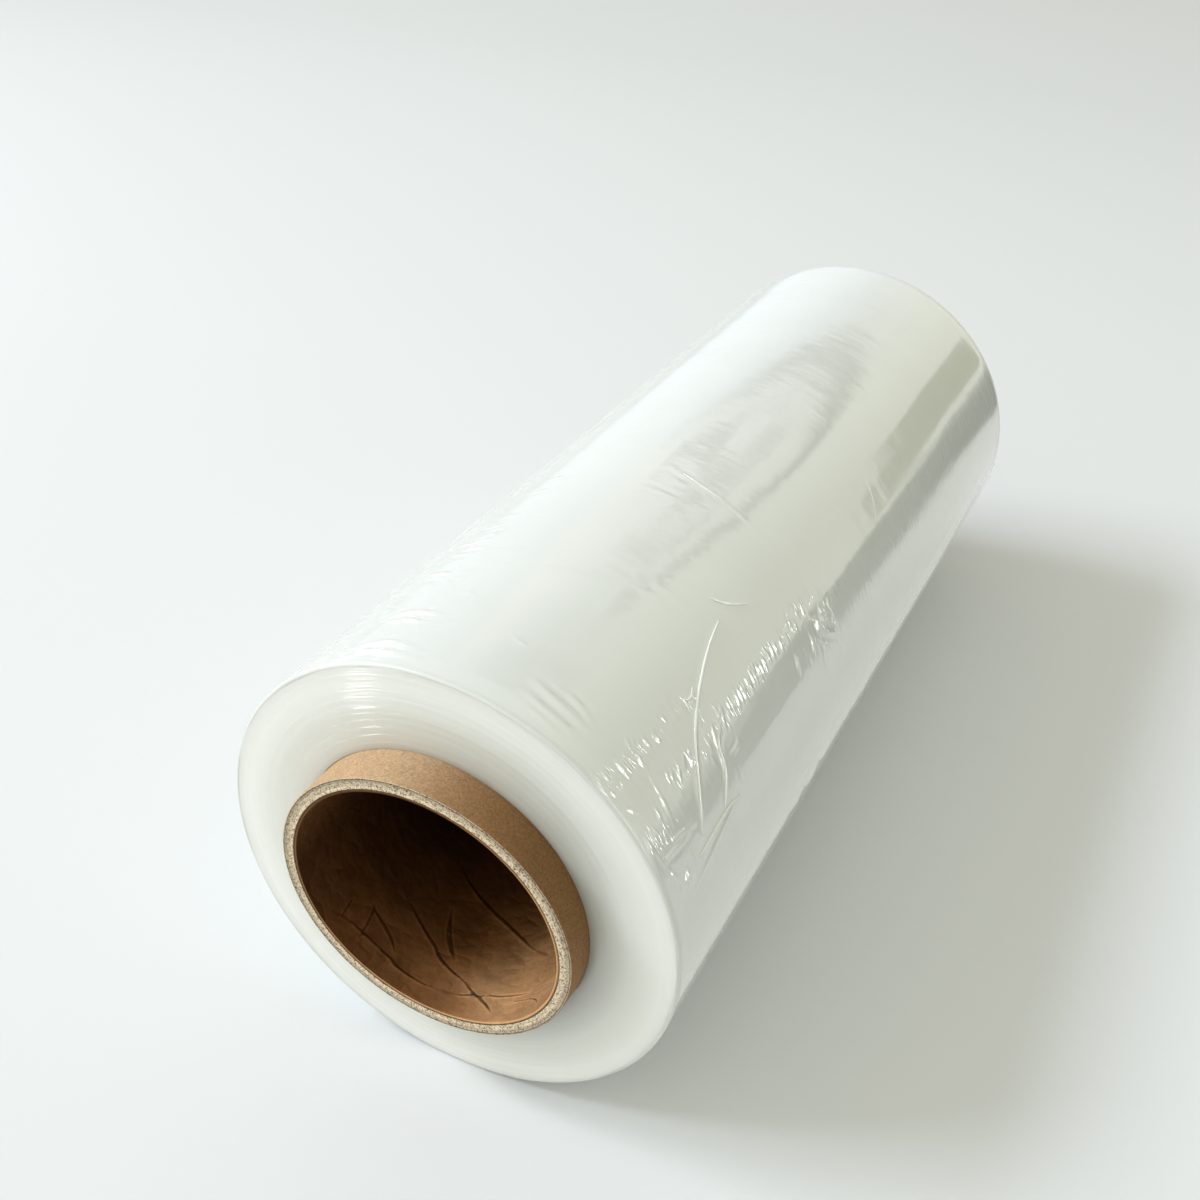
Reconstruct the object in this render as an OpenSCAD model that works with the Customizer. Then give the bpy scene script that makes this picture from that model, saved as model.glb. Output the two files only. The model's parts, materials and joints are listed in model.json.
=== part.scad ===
// Roll of clear stretch film wound on a paper core, lying on the flat spot of its soft side.
// The roll's axis runs along Y, the floor is at Z = 0 and the origin lies under the roll's middle.
// Angles round the roll are counted from its top towards +X, and places along it from its middle.

/* [Core tube] */
// Bore of the paper core, the three-inch size that dispensers take
core_bore = 76.2; // [70:0.1:80]
// Wall of the core, plies of board glued into one tube
core_wall = 4.5; // [3.5:0.5:6]
// Length of core that stands out of the film at each end
core_stick = 10.5; // [5:0.5:16]
// Thickness of the thin paper that lines the bore
liner_t = 0.8; // [0.6:0.1:1]
// Board plies that show on the cut ends, outside the liner
board_plies = 3; // [2:1:4]
// Width of the line between two plies on a cut end
ply_line_w = 0.2; // [0.1:0.05:0.3]
// Depth of the line between two plies on a cut end
ply_line_depth = 0.4; // [0.2:0.1:0.8]
// Bevel that the saw leaves on the core's outer edge
core_bevel = 0.4; // [0.2:0.1:0.6]

/* [Wound film] */
// Outer diameter of the wound film
film_od = 134; // [120:1:160]
// Width of the film, from one end face to the other
film_w = 325; // [320:5:450]
// Width of the flat spot that the soft roll rests on
flat_w = 16; // [13:1:22]
// Turns that can be told apart on an end face
turn_count = 8; // [5:1:14]
// Width of the line between two turns on an end face
turn_line_w = 0.5; // [0.3:0.1:0.8]
// Depth of the line between two turns on an end face
turn_line_depth = 0.45; // [0.2:0.05:0.8]
// Bevel along the outer edges of the film
film_bevel = 0.8; // [0.4:0.1:1.5]

/* [Loose outer wrap] */
// Angle at which the film's loose tail ends
tail_angle = -40; // [-60:1:-30]
// Slant of the tail's edge against the roll's axis
tail_slant = 1.6; // [-3:0.1:3]
// Angle from the tail to the place where the loose wrap stands off most
crown_lead = 40; // [30:1:50]
// Height at which the loose wrap stands off the roll
wrap_lift = 0.45; // [0.3:0.05:0.8]
// Distance between an end face and the loose wrap's edge
wrap_inset = 2; // [1.6:0.1:4]

/* [Gathers and creases] */
// Width that a gather has at its foot for each millimetre of its height
foot_per_height = 3; // [2:0.5:4]
// Height of a faint gather above the skin
faint_h = 0.2; // [0.15:0.05:0.3]
// Height of a plain gather above the skin
gather_h = 0.4; // [0.25:0.05:0.6]
// Height of a sharp crease above the skin
crease_h = 0.7; // [0.4:0.05:0.8]
// Number of gathers in the comb on the right side
comb_count = 10; // [4:1:14]
// Distance between two gathers of the comb
comb_pitch = 5.5; // [4:0.5:7]
// Share of a link that its gather covers in a bent crease
link_share = 0.84; // [0.7:0.02:1]
// Share of the length that each next gather of three loses in a row
row_loss = 0.25; // [0:0.05:0.3]

/* [Hidden] */
$fn = 96;
// How far a cut runs past the face that it starts from
OVER = 1;
// Share of its length that a gather's ring runs to each side of its middle, to end in the roll
HALF_RUN = 0.58;
// Largest sine of that half sweep, which keeps the shortest gather less than half a ring
MAX_SINE = 0.95;
// Depth of a gather's section below its crest, in heights, so that its foot is in the roll
ROOT = 3;
core_in_r = core_bore / 2;
core_r = core_in_r + core_wall;
core_len = film_w + 2 * core_stick;
ply_t = (core_wall - liner_t) / board_plies;
film_r = film_od / 2;
film_edge = -film_w / 2;
axis_h = sqrt(pow(film_r, 2) - pow(flat_w / 2, 2));
turn_pitch = (film_r - film_bevel - core_r) / turn_count;
wrap_w = film_w - 2 * wrap_inset;
// The loose wrap stands off most a little way past its tail, and lies tight a quarter turn on
wrap_crown = tail_angle + crown_lead;

// Height of the skin above the roll's axis: the roll itself or, past the tail, the wrap on it
function wrap_r(angle) = wrap_lift * cos(angle - wrap_crown)
    + sqrt(pow(film_r, 2) - pow(wrap_lift * sin(angle - wrap_crown), 2));
function skin_r(angle) = angle < tail_angle ? film_r : max(film_r, wrap_r(angle));

// Where a walk over the skin leads to, as its angle, place and heading, in steps that each turn
function walk(angle, along, turn, bend, step, steps) = steps == 0
    ? [angle, along, turn]
    : walk(
        angle + step * cos(turn) / film_r * 180 / PI,
        along + step * sin(turn),
        turn + bend,
        bend, step, steps - 1
    );

module on_axis() {
    translate([0, 0, axis_h]) rotate([-90, 0, 0]) children();
}

module at_angle(angle) {
    translate([0, 0, axis_h]) rotate([0, angle, 0]) children();
}

module at_both_ends(length) {
    for (end = [0, 1]) mirror([0, 0, end]) translate([0, 0, length / 2]) children();
}

// A groove of V section on a radius, cut down from an end face
module ring_line(r, width, depth, sweep = 360) {
    rotate_extrude(angle = sweep) polygon([
        [r - width / 2, OVER],
        [r - width / 2, 0],
        [r, -depth],
        [r + width / 2, 0],
        [r + width / 2, OVER],
    ]);
}

// The outer edge of an end face is cut off at 45 degrees
module bevel_cut(r, bevel) {
    rotate_extrude() polygon([
        [r - bevel - OVER, OVER],
        [r + OVER, -bevel - OVER],
        [r + OVER, OVER],
    ]);
}

module ply_lines() {
    for (ply = [0 : board_plies - 1])
        ring_line(core_in_r + liner_t + ply * ply_t, ply_line_w, ply_line_depth);
}

module core_tube() {
    color("#b58f63") on_axis() difference() {
        cylinder(r = core_r, h = core_len, center = true);
        cylinder(r = core_in_r, h = core_len + 2 * OVER, center = true);
        at_both_ends(core_len) ply_lines();
        at_both_ends(core_len) bevel_cut(core_r, core_bevel);
    }
}

// The line between turns is a spiral of half rings, whose centres lie in turn a quarter pitch
// above and below the axis. It starts near the core and ends outermost in line with the tail.
module turn_lines() {
    rotate([0, 0, tail_angle]) for (half = [0 : 2 * turn_count - 3]) {
        side = half % 2 == 0 ? 1 : -1;
        r = core_r + turn_pitch * (half / 2 + 0.75);
        translate([0, side * turn_pitch / 4, 0]) rotate([0, 0, -90 * side])
            ring_line(r, turn_line_w, turn_line_depth, 180);
    }
}

// The film wound tight, under the loose wrap
module tight_turns() {
    on_axis() difference() {
        cylinder(r = film_r, h = film_w, center = true);
        at_both_ends(film_w) bevel_cut(film_r, film_bevel);
    }
}

// The loose wrap is a round of the film's own radius set off the axis, and cut along the tail
module loose_wrap() {
    intersection() {
        at_angle(wrap_crown) translate([0, 0, wrap_lift]) rotate([90, 0, 0])
            cylinder(r = film_r, h = wrap_w, center = true);
        at_angle(tail_angle) rotate([0, 0, tail_slant]) translate([0, -film_w, -film_od])
            cube([2 * film_od, 2 * film_w, 2 * film_od]);
    }
}

// A gather is an arc of a sharp-edged ring, bent tighter than the skin under it, so that it rises
// out of the skin and dives back. Its length and height are those of the part that shows.
module gather(angle, along, turn, length, height = gather_h) {
    skin_bend = pow(cos(turn), 2) / film_r;
    crest_r = 1 / (skin_bend + 8 * height / pow(length, 2));
    reach = asin(min(MAX_SINE, HALF_RUN * length / crest_r));
    depth = ROOT * height;
    at_angle(angle) translate([0, along, skin_r(angle)]) rotate([0, 0, turn])
        translate([0, 0, height - crest_r]) rotate([90, reach - 90, 0])
            rotate_extrude(angle = 2 * reach) polygon([
                [crest_r, 0],
                [crest_r - depth, depth * foot_per_height / 2],
                [crest_r - depth, -depth * foot_per_height / 2],
            ]);
}

// Like gathers side by side, every third one whole and the next two shorter
module gather_row(angle, along, count, pitch, turn, length, height = gather_h) {
    for (place = [0 : count - 1])
        gather(angle, along + place * pitch, turn, length * (1 - row_loss * (place % 3)), height);
}

// A bent crease is a chain of gathers, each turned a little from the last
module crease(angle, along, turn, bend, link, links, height = gather_h) {
    for (step = [0 : links - 1]) {
        start = walk(angle, along, turn, bend, link, step);
        middle = walk(start[0], start[1], start[2], 0, link / 2, 1);
        gather(middle[0], middle[1], middle[2], link_share * link, height);
    }
}

// The film is drawn in at the front edge, left and right of the roll's top
module edge_gathers() {
    gather_row(angle = -13, along = film_edge + 4.5, count = 2, pitch = 4.5, turn = 2, length = 20);
    gather_row(angle = -15, along = film_edge + 21, count = 2, pitch = 3, turn = 2, length = 18);
    gather_row(angle = -33, along = film_edge + 11, count = 2, pitch = 6, turn = 20, length = 9);
    gather_row(angle = 25, along = film_edge + 12, count = 2, pitch = 5, turn = -5, length = 18);
    gather_row(angle = 43, along = film_edge + 4, count = 3, pitch = 3.5, turn = 4, length = 8);
}

// Creases cross the right side of the roll, most of them near the front edge
module side_creases() {
    crease(39.5, film_edge + 75, turn = -78, bend = 13, link = 16.5, links = 4, height = crease_h);
    crease(53, film_edge + 52, turn = -60, bend = 18, link = 10, links = 3);
    crease(74, film_edge + 12, turn = 88, bend = 5, link = 15, links = 2);
    crease(62, film_edge + 118, turn = -12, bend = 12, link = 8, links = 2);
    crease(61, film_edge + 98, turn = 10, bend = -14, link = 8, links = 2);
    gather(angle = 39, along = film_edge + 84, turn = 50, length = 14, height = crease_h);
    gather(angle = 58, along = film_edge + 175, turn = -25, length = 30);
}

// A comb of short gathers stands along the right side, where the wrap is pulled tight
module comb() {
    gather_row(
        angle = 55.5, along = film_edge + 57, count = comb_count, pitch = comb_pitch,
        turn = 3, length = 8
    );
}

// Low ridges run round the wrap where its edge was drawn in while it was wound
module hoops() {
    gather(angle = -8, along = film_edge + 52, turn = 12, length = 50, height = faint_h);
    crease(0, film_edge + 124, turn = -10, bend = -6, link = 12, links = 3, height = faint_h);
}

// Short gathers stand where the loose tail has lifted
module tail_gathers() {
    gather_row(tail_angle + 17, film_edge + 57, count = 4, pitch = 5, turn = 0, length = 12);
    gather_row(tail_angle + 4, film_edge + 120, count = 3, pitch = 58, turn = 30, length = 14);
}

module wound_film() {
    color("#e6e9e2") difference() {
        union() {
            tight_turns();
            loose_wrap();
            edge_gathers();
            side_creases();
            comb();
            hoops();
            tail_gathers();
        }
        on_axis() cylinder(r = core_r, h = film_w + 2 * OVER, center = true);
        on_axis() at_both_ends(film_w) turn_lines();
        translate([-film_od, -film_w, -film_od]) cube([2 * film_od, 2 * film_w, film_od]);
    }
}

core_tube();
wound_film();
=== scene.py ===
"""Roll of clear stretch film on a kraft paper core, lying on its flat spot under soft window light.

The roll's own lengths are in millimetres up to the point where a mesh is made, and those of the
stage round it are in metres. Angles go round the roll from its top towards +X, and places along it
are counted from its middle, with the front end at -Y.
"""
import json
import math

import bmesh
import bpy
import numpy as np
from bpy.props import FloatProperty, FloatVectorProperty, IntProperty, PointerProperty
from bpy.types import Operator, Panel, PropertyGroup
from mathutils import Matrix, Vector


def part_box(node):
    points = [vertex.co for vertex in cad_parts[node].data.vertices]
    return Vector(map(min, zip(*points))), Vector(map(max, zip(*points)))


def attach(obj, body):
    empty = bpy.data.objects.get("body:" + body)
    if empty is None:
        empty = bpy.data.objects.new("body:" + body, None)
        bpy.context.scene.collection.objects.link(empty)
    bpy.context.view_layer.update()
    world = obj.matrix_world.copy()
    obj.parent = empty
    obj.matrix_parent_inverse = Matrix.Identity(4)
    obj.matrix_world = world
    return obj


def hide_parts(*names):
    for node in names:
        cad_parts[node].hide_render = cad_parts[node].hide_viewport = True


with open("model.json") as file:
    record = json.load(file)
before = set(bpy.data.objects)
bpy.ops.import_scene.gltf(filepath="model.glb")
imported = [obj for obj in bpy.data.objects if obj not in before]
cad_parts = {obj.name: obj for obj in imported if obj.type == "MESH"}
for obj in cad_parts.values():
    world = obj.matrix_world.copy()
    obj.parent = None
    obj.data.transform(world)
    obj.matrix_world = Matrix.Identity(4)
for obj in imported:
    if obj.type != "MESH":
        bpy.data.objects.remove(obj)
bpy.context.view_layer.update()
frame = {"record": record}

bl_info = {
    "name": "Stretch wrap roll",
    "version": (1, 0, 0),
    "blender": (4, 5, 0),
    "location": "View3D > Sidebar > Wrap roll",
    "description": "Dresses a roll of clear stretch film on a paper core",
    "category": "Object",
}

MM = 0.001
FULL = 360.0


def from_hex(code):
    """An sRGB hex colour as linear red, green and blue."""
    srgb = np.array([int(code[i:i + 2], 16) for i in (1, 3, 5)]) / 255
    linear = np.where(srgb <= 0.04045, srgb / 12.92, ((srgb + 0.055) / 1.055) ** 2.4)
    return tuple(float(value) for value in linear)


def size_of(node):
    """The two opposite corners of a CAD node, in millimetres."""
    low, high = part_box(node)
    return np.array(low) / MM, np.array(high) / MM


# Driving dimensions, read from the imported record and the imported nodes
BORE = next(mount for mount in frame["record"]["mounts"] if mount["name"] == "core_bore")
AXIS_H = BORE["pos_m"][2] / MM
BORE_R = BORE["dims"]["r_mm"]
CORE_LOW, CORE_HIGH = size_of("core_tube")
CORE_R = (CORE_HIGH[0] - CORE_LOW[0]) / 2
CORE_END = CORE_HIGH[1]
FILM_LOW, FILM_HIGH = size_of("wound_film")
FILM_R = (FILM_HIGH[0] - FILM_LOW[0]) / 2
FILM_END = FILM_HIGH[1]
FRONT = -FILM_END
DEG_PER_MM = FULL / (2 * math.pi * FILM_R)
# Slant of the loose tail's edge against the roll's axis, in degrees
TAIL_SLANT = 1.6
# Angle from the tail to the place where the loose wrap stands off most
CROWN_LEAD = 40
# How far the smooth skin lies inside the solid's radius, so that its swell stays within that
SKIN_INSET = 0.12
# Points of one piece that are closer than this, in metres, are one point
MERGED = 2e-6
# Height of the reflected floor cards above the floor, in metres
CARD_H = 0.0006


class FilmSettings(PropertyGroup):
    """Sizes and colours of the wound film."""

    milk: FloatVectorProperty(
        name="Film", description="Colour of many turns of film seen through each other",
        subtype="COLOR", size=3, min=0, max=1, default=from_hex("#e9ece7"),
    )
    edge: FloatVectorProperty(
        name="Film edges", description="Colour of the cut edges on the end faces",
        subtype="COLOR", size=3, min=0, max=1, default=from_hex("#f4f5ef"),
    )
    turns: IntProperty(
        name="Turns", description="Turns that can be told apart on an end face",
        default=11, min=4, max=16,
    )
    wrap_lift: FloatProperty(
        name="Wrap lift", description="Height at which the loose outer wrap stands off, in mm",
        default=0.45, min=0.1, max=0.8,
    )
    tail_angle: FloatProperty(
        name="Tail", description="Angle at which the loose tail ends, in degrees",
        default=-40, min=-60, max=-30,
    )
    bevel: FloatProperty(
        name="Edge bevel", description="Rounding along the outer edges of the film, in mm",
        default=0.8, min=0.4, max=1.5,
    )


class CoreSettings(PropertyGroup):
    """Sizes and colours of the paper core."""

    kraft: FloatVectorProperty(
        name="Kraft", description="Colour of the kraft board's face",
        subtype="COLOR", size=3, min=0, max=1, default=from_hex("#be9f7d"),
    )
    cut: FloatVectorProperty(
        name="Cut rim", description="Colour of the sawn plies",
        subtype="COLOR", size=3, min=0, max=1, default=from_hex("#dccab0"),
    )
    liner: FloatVectorProperty(
        name="Liner", description="Colour of the paper that lines the bore",
        subtype="COLOR", size=3, min=0, max=1, default=from_hex("#b98d63"),
    )
    liner_t: FloatProperty(
        name="Liner thickness", description="Thickness of the paper in the bore, in mm",
        default=0.8, min=0.4, max=1.0,
    )
    plies: IntProperty(
        name="Plies", description="Plies of board outside the liner", default=3, min=2, max=4,
    )
    bevel: FloatProperty(
        name="Sawn bevel", description="Bevel on the core's outer edges, in mm",
        default=0.4, min=0.2, max=0.6,
    )


class StageSettings(PropertyGroup):
    """Light and floor."""

    floor: FloatVectorProperty(
        name="Floor", description="Colour of the floor",
        subtype="COLOR", size=3, min=0, max=1, default=from_hex("#e9ebed"),
    )
    sky: FloatProperty(
        name="Room light", description="Strength of the light from all round", default=0.575, min=0,
    )
    window: FloatProperty(
        name="Window", description="Power of both panes of the window together",
        default=93, min=0, unit="POWER",
    )


def smooth_line(points, steps=8):
    """Points along a Catmull-Rom curve through the given points: each stretch is a cubic whose
    slope at a point is half the step from the point before to the point after it."""
    p = np.array(points, float)
    if len(p) < 3:
        return p
    p = np.vstack([2 * p[0] - p[1], p, 2 * p[-1] - p[-2]])
    t = np.linspace(0, 1, steps, endpoint=False)[:, None]
    runs = [
        0.5 * (
            2 * b + (c - a) * t + (2 * a - 5 * b + 4 * c - d) * t ** 2
            + (3 * b - a - 3 * c + d) * t ** 3
        )
        for a, b, c, d in zip(p[:-3], p[1:-2], p[2:-1], p[3:])
    ]
    return np.vstack(runs + [p[-2:-1]])


def stand_up(nearest, side, width):
    """A fold of film: a crest along the line with a shallow trough on either side, both bell
    shaped in the distance to the line. It is the same on both sides."""
    crest = np.exp(-(nearest / width) ** 1.5)
    return crest - 0.3 * np.exp(-((nearest - 2.2 * width) / width) ** 2)


def break_over(nearest, side, width):
    """A crease in paper: it rises slowly on one side of the line and drops sharply on the other."""
    slow = np.exp(-nearest / (2.2 * width))
    sharp = -0.45 * np.exp(-(nearest / width) ** 2)
    return np.where(side > 0, slow, sharp)


def add_fold(relief, arc, along, stroke, form=stand_up, marks=None):
    """Raises one fold on a grid of heights. Its form gives the height from the distance to the
    fold's line and the side of it, and it tapers at both ends. Marks collects where lines run."""
    points, height, width = stroke
    line = smooth_line(points)
    line[:, 0] /= DEG_PER_MM
    reach = 4 * width
    rows = np.flatnonzero(
        (along > line[:, 1].min() - reach) & (along < line[:, 1].max() + reach)
    )
    columns = np.flatnonzero(
        (arc > line[:, 0].min() - reach) & (arc < line[:, 0].max() + reach)
    )
    if not len(rows) or not len(columns):
        return
    window = np.ix_(rows, columns)
    x, y = np.meshgrid(arc[columns], along[rows])
    steps = np.hypot(*np.diff(line, axis=0).T)
    run = np.concatenate([[0], np.cumsum(steps)]) / steps.sum()
    nearest = np.full(x.shape, np.inf)
    place = np.zeros(x.shape)
    side = np.zeros(x.shape)
    for (ax, ay), (bx, by), start, end in zip(line[:-1], line[1:], run[:-1], run[1:]):
        dx, dy = bx - ax, by - ay
        t = np.clip(((x - ax) * dx + (y - ay) * dy) / (dx * dx + dy * dy), 0, 1)
        distance = np.hypot(x - ax - t * dx, y - ay - t * dy)
        closer = distance < nearest
        nearest = np.where(closer, distance, nearest)
        place = np.where(closer, start + t * (end - start), place)
        side = np.where(closer, (x - ax) * dy - (y - ay) * dx, side)
    taper = np.sin(np.pi * np.clip(place, 0.02, 0.98)) ** 0.6
    relief[window] += height * taper * form(nearest, side, width)
    if marks is not None:
        marks[window] = np.maximum(marks[window], taper * np.exp(-(nearest / (0.8 * width)) ** 2))


def scattered(seed, count, angles, places, length, height, width, slant):
    """Short folds scattered over a patch of the skin. Each runs nearly round the roll, with up to
    the given slant in degrees either way."""
    rng = np.random.default_rng(seed)
    folds = []
    for angle, place, size, lean, rise in rng.random((count, 5)):
        middle = angles[0] + angle * (angles[1] - angles[0])
        run = length * (0.5 + size) * DEG_PER_MM / 2
        along = places[0] + place * (places[1] - places[0])
        drift = math.tan(math.radians(slant * (2 * lean - 1))) * run / DEG_PER_MM
        ends = ((middle - run, along - drift), (middle + run, along + drift))
        folds.append((ends, height * (0.4 + rise), width))
    return folds


# The longest fold on the right side and the shorter one beside it: bends as angle and place
LONG_BEND = ((39.5, -87), (42, -100), (46, -113), (50, -122), (54, -128), (60, -134), (68, -141))
SHORT_BEND = ((53, -110), (57, -118), (63, -121), (69, -127))
# Folds seen one by one: bends as angle and place, then height and half width in millimetres
LONG_FOLDS = (
    (LONG_BEND, 0.16, 0.8),
    (SHORT_BEND, 0.16, 0.6),
    (((76, -152), (73, -136), (70.5, -120)), 0.25, 0.6),
    (((5, -38), (10, -41), (20, -43), (30, -45)), 0.16, 0.8),
    (((-3.6, -109.1), (3.4, -104.4), (12.7, -102.3)), 0.07, 1.4),
    (((-30, -118), (-15, -113), (0, -112)), 0.06, 1.4),
    (((0, -55), (8, -54), (15, -55)), 0.05, 1.0),
    (((44, -150), (45.5, -138), (46, -125)), 0.12, 0.7),
)
# Folds of the drawn-in film on the left of the roll's top, towards the loose tail
LEFT_FOLDS = (
    (
        ((-28.5, -160.3), (-21.9, -159.2), (-19.2, -156.9), (-12.7, -157), (-5.3, -157.8),
         (-2, -159.8)), 0.3, 0.8,
    ),
    (((-19.5, -155.6), (-15.6, -156), (-10, -156)), 0.14, 0.5),
    (((-21.8, -154.3), (-17.6, -152.4), (-12.2, -152.5), (-7.3, -153.6)), 0.34, 0.9),
    (((-23.5, -139.9), (-19.9, -137.5), (-13.9, -137.3), (-7.8, -138.4)), 0.34, 0.9),
    (((-23.1, -141), (-17.5, -141.5), (-9.8, -142)), 0.16, 0.6),
    (((-28.3, -115.4), (-24.7, -114.7), (-16.8, -117.2)), 0.24, 0.7),
    (((-27, -121), (-22, -122), (-15, -122)), 0.1, 1.0),
    (((-26.1, -103.3), (-20.3, -104.3)), 0.2, 0.6),
    (((-19.6, -106), (-13.5, -109.4)), 0.12, 0.7),
    (((-25.3, -100), (-18.2, -100.8)), 0.24, 0.6),
    (((-24.2, -95.4), (-19.3, -95.7)), 0.24, 0.6),
    (((-23.5, -91.3), (-18.9, -91.9)), 0.14, 0.6),
    (((-25.7, -86.5), (-22.7, -85.1)), 0.2, 0.6),
    (((-25.5, -62.6), (-20.8, -61.8)), 0.15, 0.7),
    (((-23.6, -52.7), (-19.4, -52.8)), 0.14, 0.7),
    (((-10.8, -124.9), (-8.4, -126.5), (-5, -129.1)), 0.34, 0.6),
    (((-8.8, -127.9), (-4.9, -131.2)), 0.24, 0.5),
    (((8.6, -138.9), (11.9, -139.8)), 0.3, 0.5),
    (((-22.7, -149.9), (-21.7, -141)), 0.12, 1.0),
    (((-36.7, -150.2), (-32.2, -143.7)), 0.3, 0.7),
    (((-39.5, -161), (-37.5, -158)), 0.5, 0.6),
    (((-38.5, -83), (-38.2, -66)), 0.5, 0.6),
    (((-36.5, 3), (-36, 15)), 0.45, 0.6),
)
# Folds at the front edge on the right of the roll's top, and the sharp ones below them
RIGHT_FOLDS = (
    (((17.9, -148.9), (24.5, -150.5), (33.6, -151.5)), 0.3, 1.0),
    (((19.2, -153.8), (25.7, -155.2), (31.1, -155.1)), 0.26, 0.9),
    (((20.9, -157.1), (26, -157.9), (28.6, -158.5)), 0.2, 0.8),
    (((25.3, -146), (29.6, -147.4), (33.6, -149.5)), 0.2, 0.8),
    (((38.4, -160.4), (43.6, -160.6)), 0.34, 0.55),
    (((40.4, -157.2), (42.8, -157.6)), 0.2, 0.45),
    (((40.8, -152.3), (45.6, -152.2)), 0.34, 0.45),
    (((41.4, -151.2), (45.4, -151.3)), 0.3, 0.4),
    (((42.4, -150.1), (45.6, -150.5)), 0.22, 0.4),
    (((40, -144.5), (41.6, -145.6)), 0.3, 0.4),
    (((41.2, -143.4), (42.6, -144.7)), 0.26, 0.4),
    (((44.2, -145.5), (45.9, -146)), 0.22, 0.4),
    (((42.6, -129.8), (45.7, -130.6)), 0.2, 0.4),
    (((41, -125), (44, -126), (47.2, -126.7)), 0.12, 0.7),
    (((42.8, -122.5), (46, -122.8)), 0.12, 0.6),
    (((51.8, -132.4), (54.6, -135)), 0.32, 0.4),
    (((53.6, -130.3), (55.6, -131.9)), 0.36, 0.4),
    (((54.2, -128.9), (55.8, -130.5)), 0.28, 0.36),
    (((52.4, -134), (54.2, -136)), 0.28, 0.36),
    (((52.7, -136.1), (54.8, -138.4)), 0.3, 0.4),
    (((50.9, -140.8), (53.6, -142.2)), 0.22, 0.4),
    (((51.8, -139.3), (53.9, -141)), 0.2, 0.4),
    (((49.4, -135.6), (53.8, -136)), 0.1, 0.5),
    (((52.1, -109.5), (56.7, -112.6)), 0.24, 0.45),
    (((53.2, -116.5), (57.5, -119.5)), 0.28, 0.45),
    (((53.8, -113.4), (56.4, -115.4)), 0.2, 0.4),
    (((49, -159.1), (51, -157.5)), 0.14, 0.4),
    (((57.6, -160.2), (63.9, -161)), 0.22, 0.6),
    (((63, -155.8), (63.8, -149.9)), 0.22, 0.7),
    (((70, -150.5), (72.4, -152.9)), 0.34, 0.6),
    (((66, -158), (69.5, -155)), 0.24, 0.7),
    (((61.8, -110), (62.1, -115.7)), 0.14, 0.6),
    (((44.1, -145.6), (53.8, -147.5), (61.5, -148.9)), 0.12, 0.45),
    (((55.8, -159.6), (60.1, -159.1), (65.1, -157.6)), 0.16, 0.5),
    (((61, -158.8), (62.7, -148.6), (64.4, -138.9)), 0.16, 0.6),
    (((63.4, -157.7), (64, -151.2), (64.5, -144.2)), 0.2, 0.5),
    (((69.7, -150.1), (71.8, -152.7)), 0.34, 0.5),
    (((66.1, -156.7), (69.1, -156.7)), 0.26, 0.5),
)
# Blobs and bends where the skin is pinched in front of the roll's middle
PINCHES = (
    (((59.9, -48.8), (62.9, -49.1)), 0.5, 0.9),
    (((62.7, -49.1), (65.6, -44.5), (68.6, -39.4)), 0.34, 0.8),
    (((58.8, -44), (62, -45.5), (65, -45)), 0.3, 0.7),
    (((60.8, -66.8), (65.3, -69.1)), 0.22, 0.6),
    (((64, -52), (67, -50)), 0.3, 0.6),
    (((58, -52), (61, -47), (62.4, -41)), 0.3, 0.5),
    (((61.5, -55), (66, -57)), 0.26, 0.5),
    (((59.4, -37.3), (60.8, -38.4)), 0.3, 0.5),
)
# Patches of short scattered folds: seed and count, angles, places along, then length, height, half
# width and greatest slant
SCATTERED = (
    (11, 26, (-36, -4), (-160, -84), 13, 0.07, 0.7, 6),
    (12, 24, (-38, -14), (-84, 150), 10, 0.09, 0.9, 6),
    (13, 20, (40, 51), (-158, -124), 3.5, 0.07, 0.4, 14),
    (19, 12, (43.4, 45.6), (-141, -131), 2.2, 0.16, 0.36, 12),
    (14, 30, (54, 72), (-160, -104), 5, 0.06, 0.5, 18),
    (15, 14, (58, 76), (-62, -36), 6, 0.08, 0.55, 14),
    (16, 24, (0, 50), (-110, 90), 18, 0.025, 1.4, 6),
    (17, 18, (95, 168), (-150, 150), 26, 0.1, 2.8, 6),
    (21, 22, (-165, -60), (-150, 150), 26, 0.1, 2.8, 6),
    (18, 20, (-44, -36), (-150, 150), 8, 0.14, 0.8, 6),
)


def comb_folds(first=-106, last=-50, pitch=2.75):
    """A comb of short folds round the roll, side by side along its right side. Each leans a little
    towards the roll's front, and they stand closest where the skin was drawn in most."""
    rng = np.random.default_rng(3)
    folds = []
    place = first
    while place < last:
        shift, size, rise, lean = rng.random(4)
        start = 52.6 + 1.5 * shift
        end = start + 1.8 + 2.4 * size
        ends = ((start, place), (end, place - 0.2 - 1.2 * lean))
        folds.append((ends, 0.12 + 0.26 * rise, 0.36 + 0.1 * shift))
        place += pitch * (0.55 + 0.9 * shift) * (0.7 if place < -84 else 1)
    return folds


def skin_folds():
    """Every fold that stands on the film's side."""
    folds = [*LONG_FOLDS, *LEFT_FOLDS, *RIGHT_FOLDS, *PINCHES, *comb_folds()]
    for patch in SCATTERED:
        folds += scattered(*patch)
    return folds


def steps_between(*stops):
    """Values from the first stop to the last. Each stop but the last is a value and the step that
    holds from it on."""
    runs = []
    for (start, step), (end, *_) in zip(stops[:-1], stops[1:]):
        count = max(1, round((end - start) / step))
        runs.append(np.linspace(start, end, count, endpoint=False))
    return np.concatenate(runs + [[stops[-1][0]]])


def round_place(radius, angle, along):
    """The point at a radius, an angle in degrees from the top towards +X and a place along."""
    turn = np.radians(angle)
    x, y, z = np.broadcast_arrays(radius * np.sin(turn), along, AXIS_H + radius * np.cos(turn))
    return np.stack([x, y, z], axis=-1)


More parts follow.
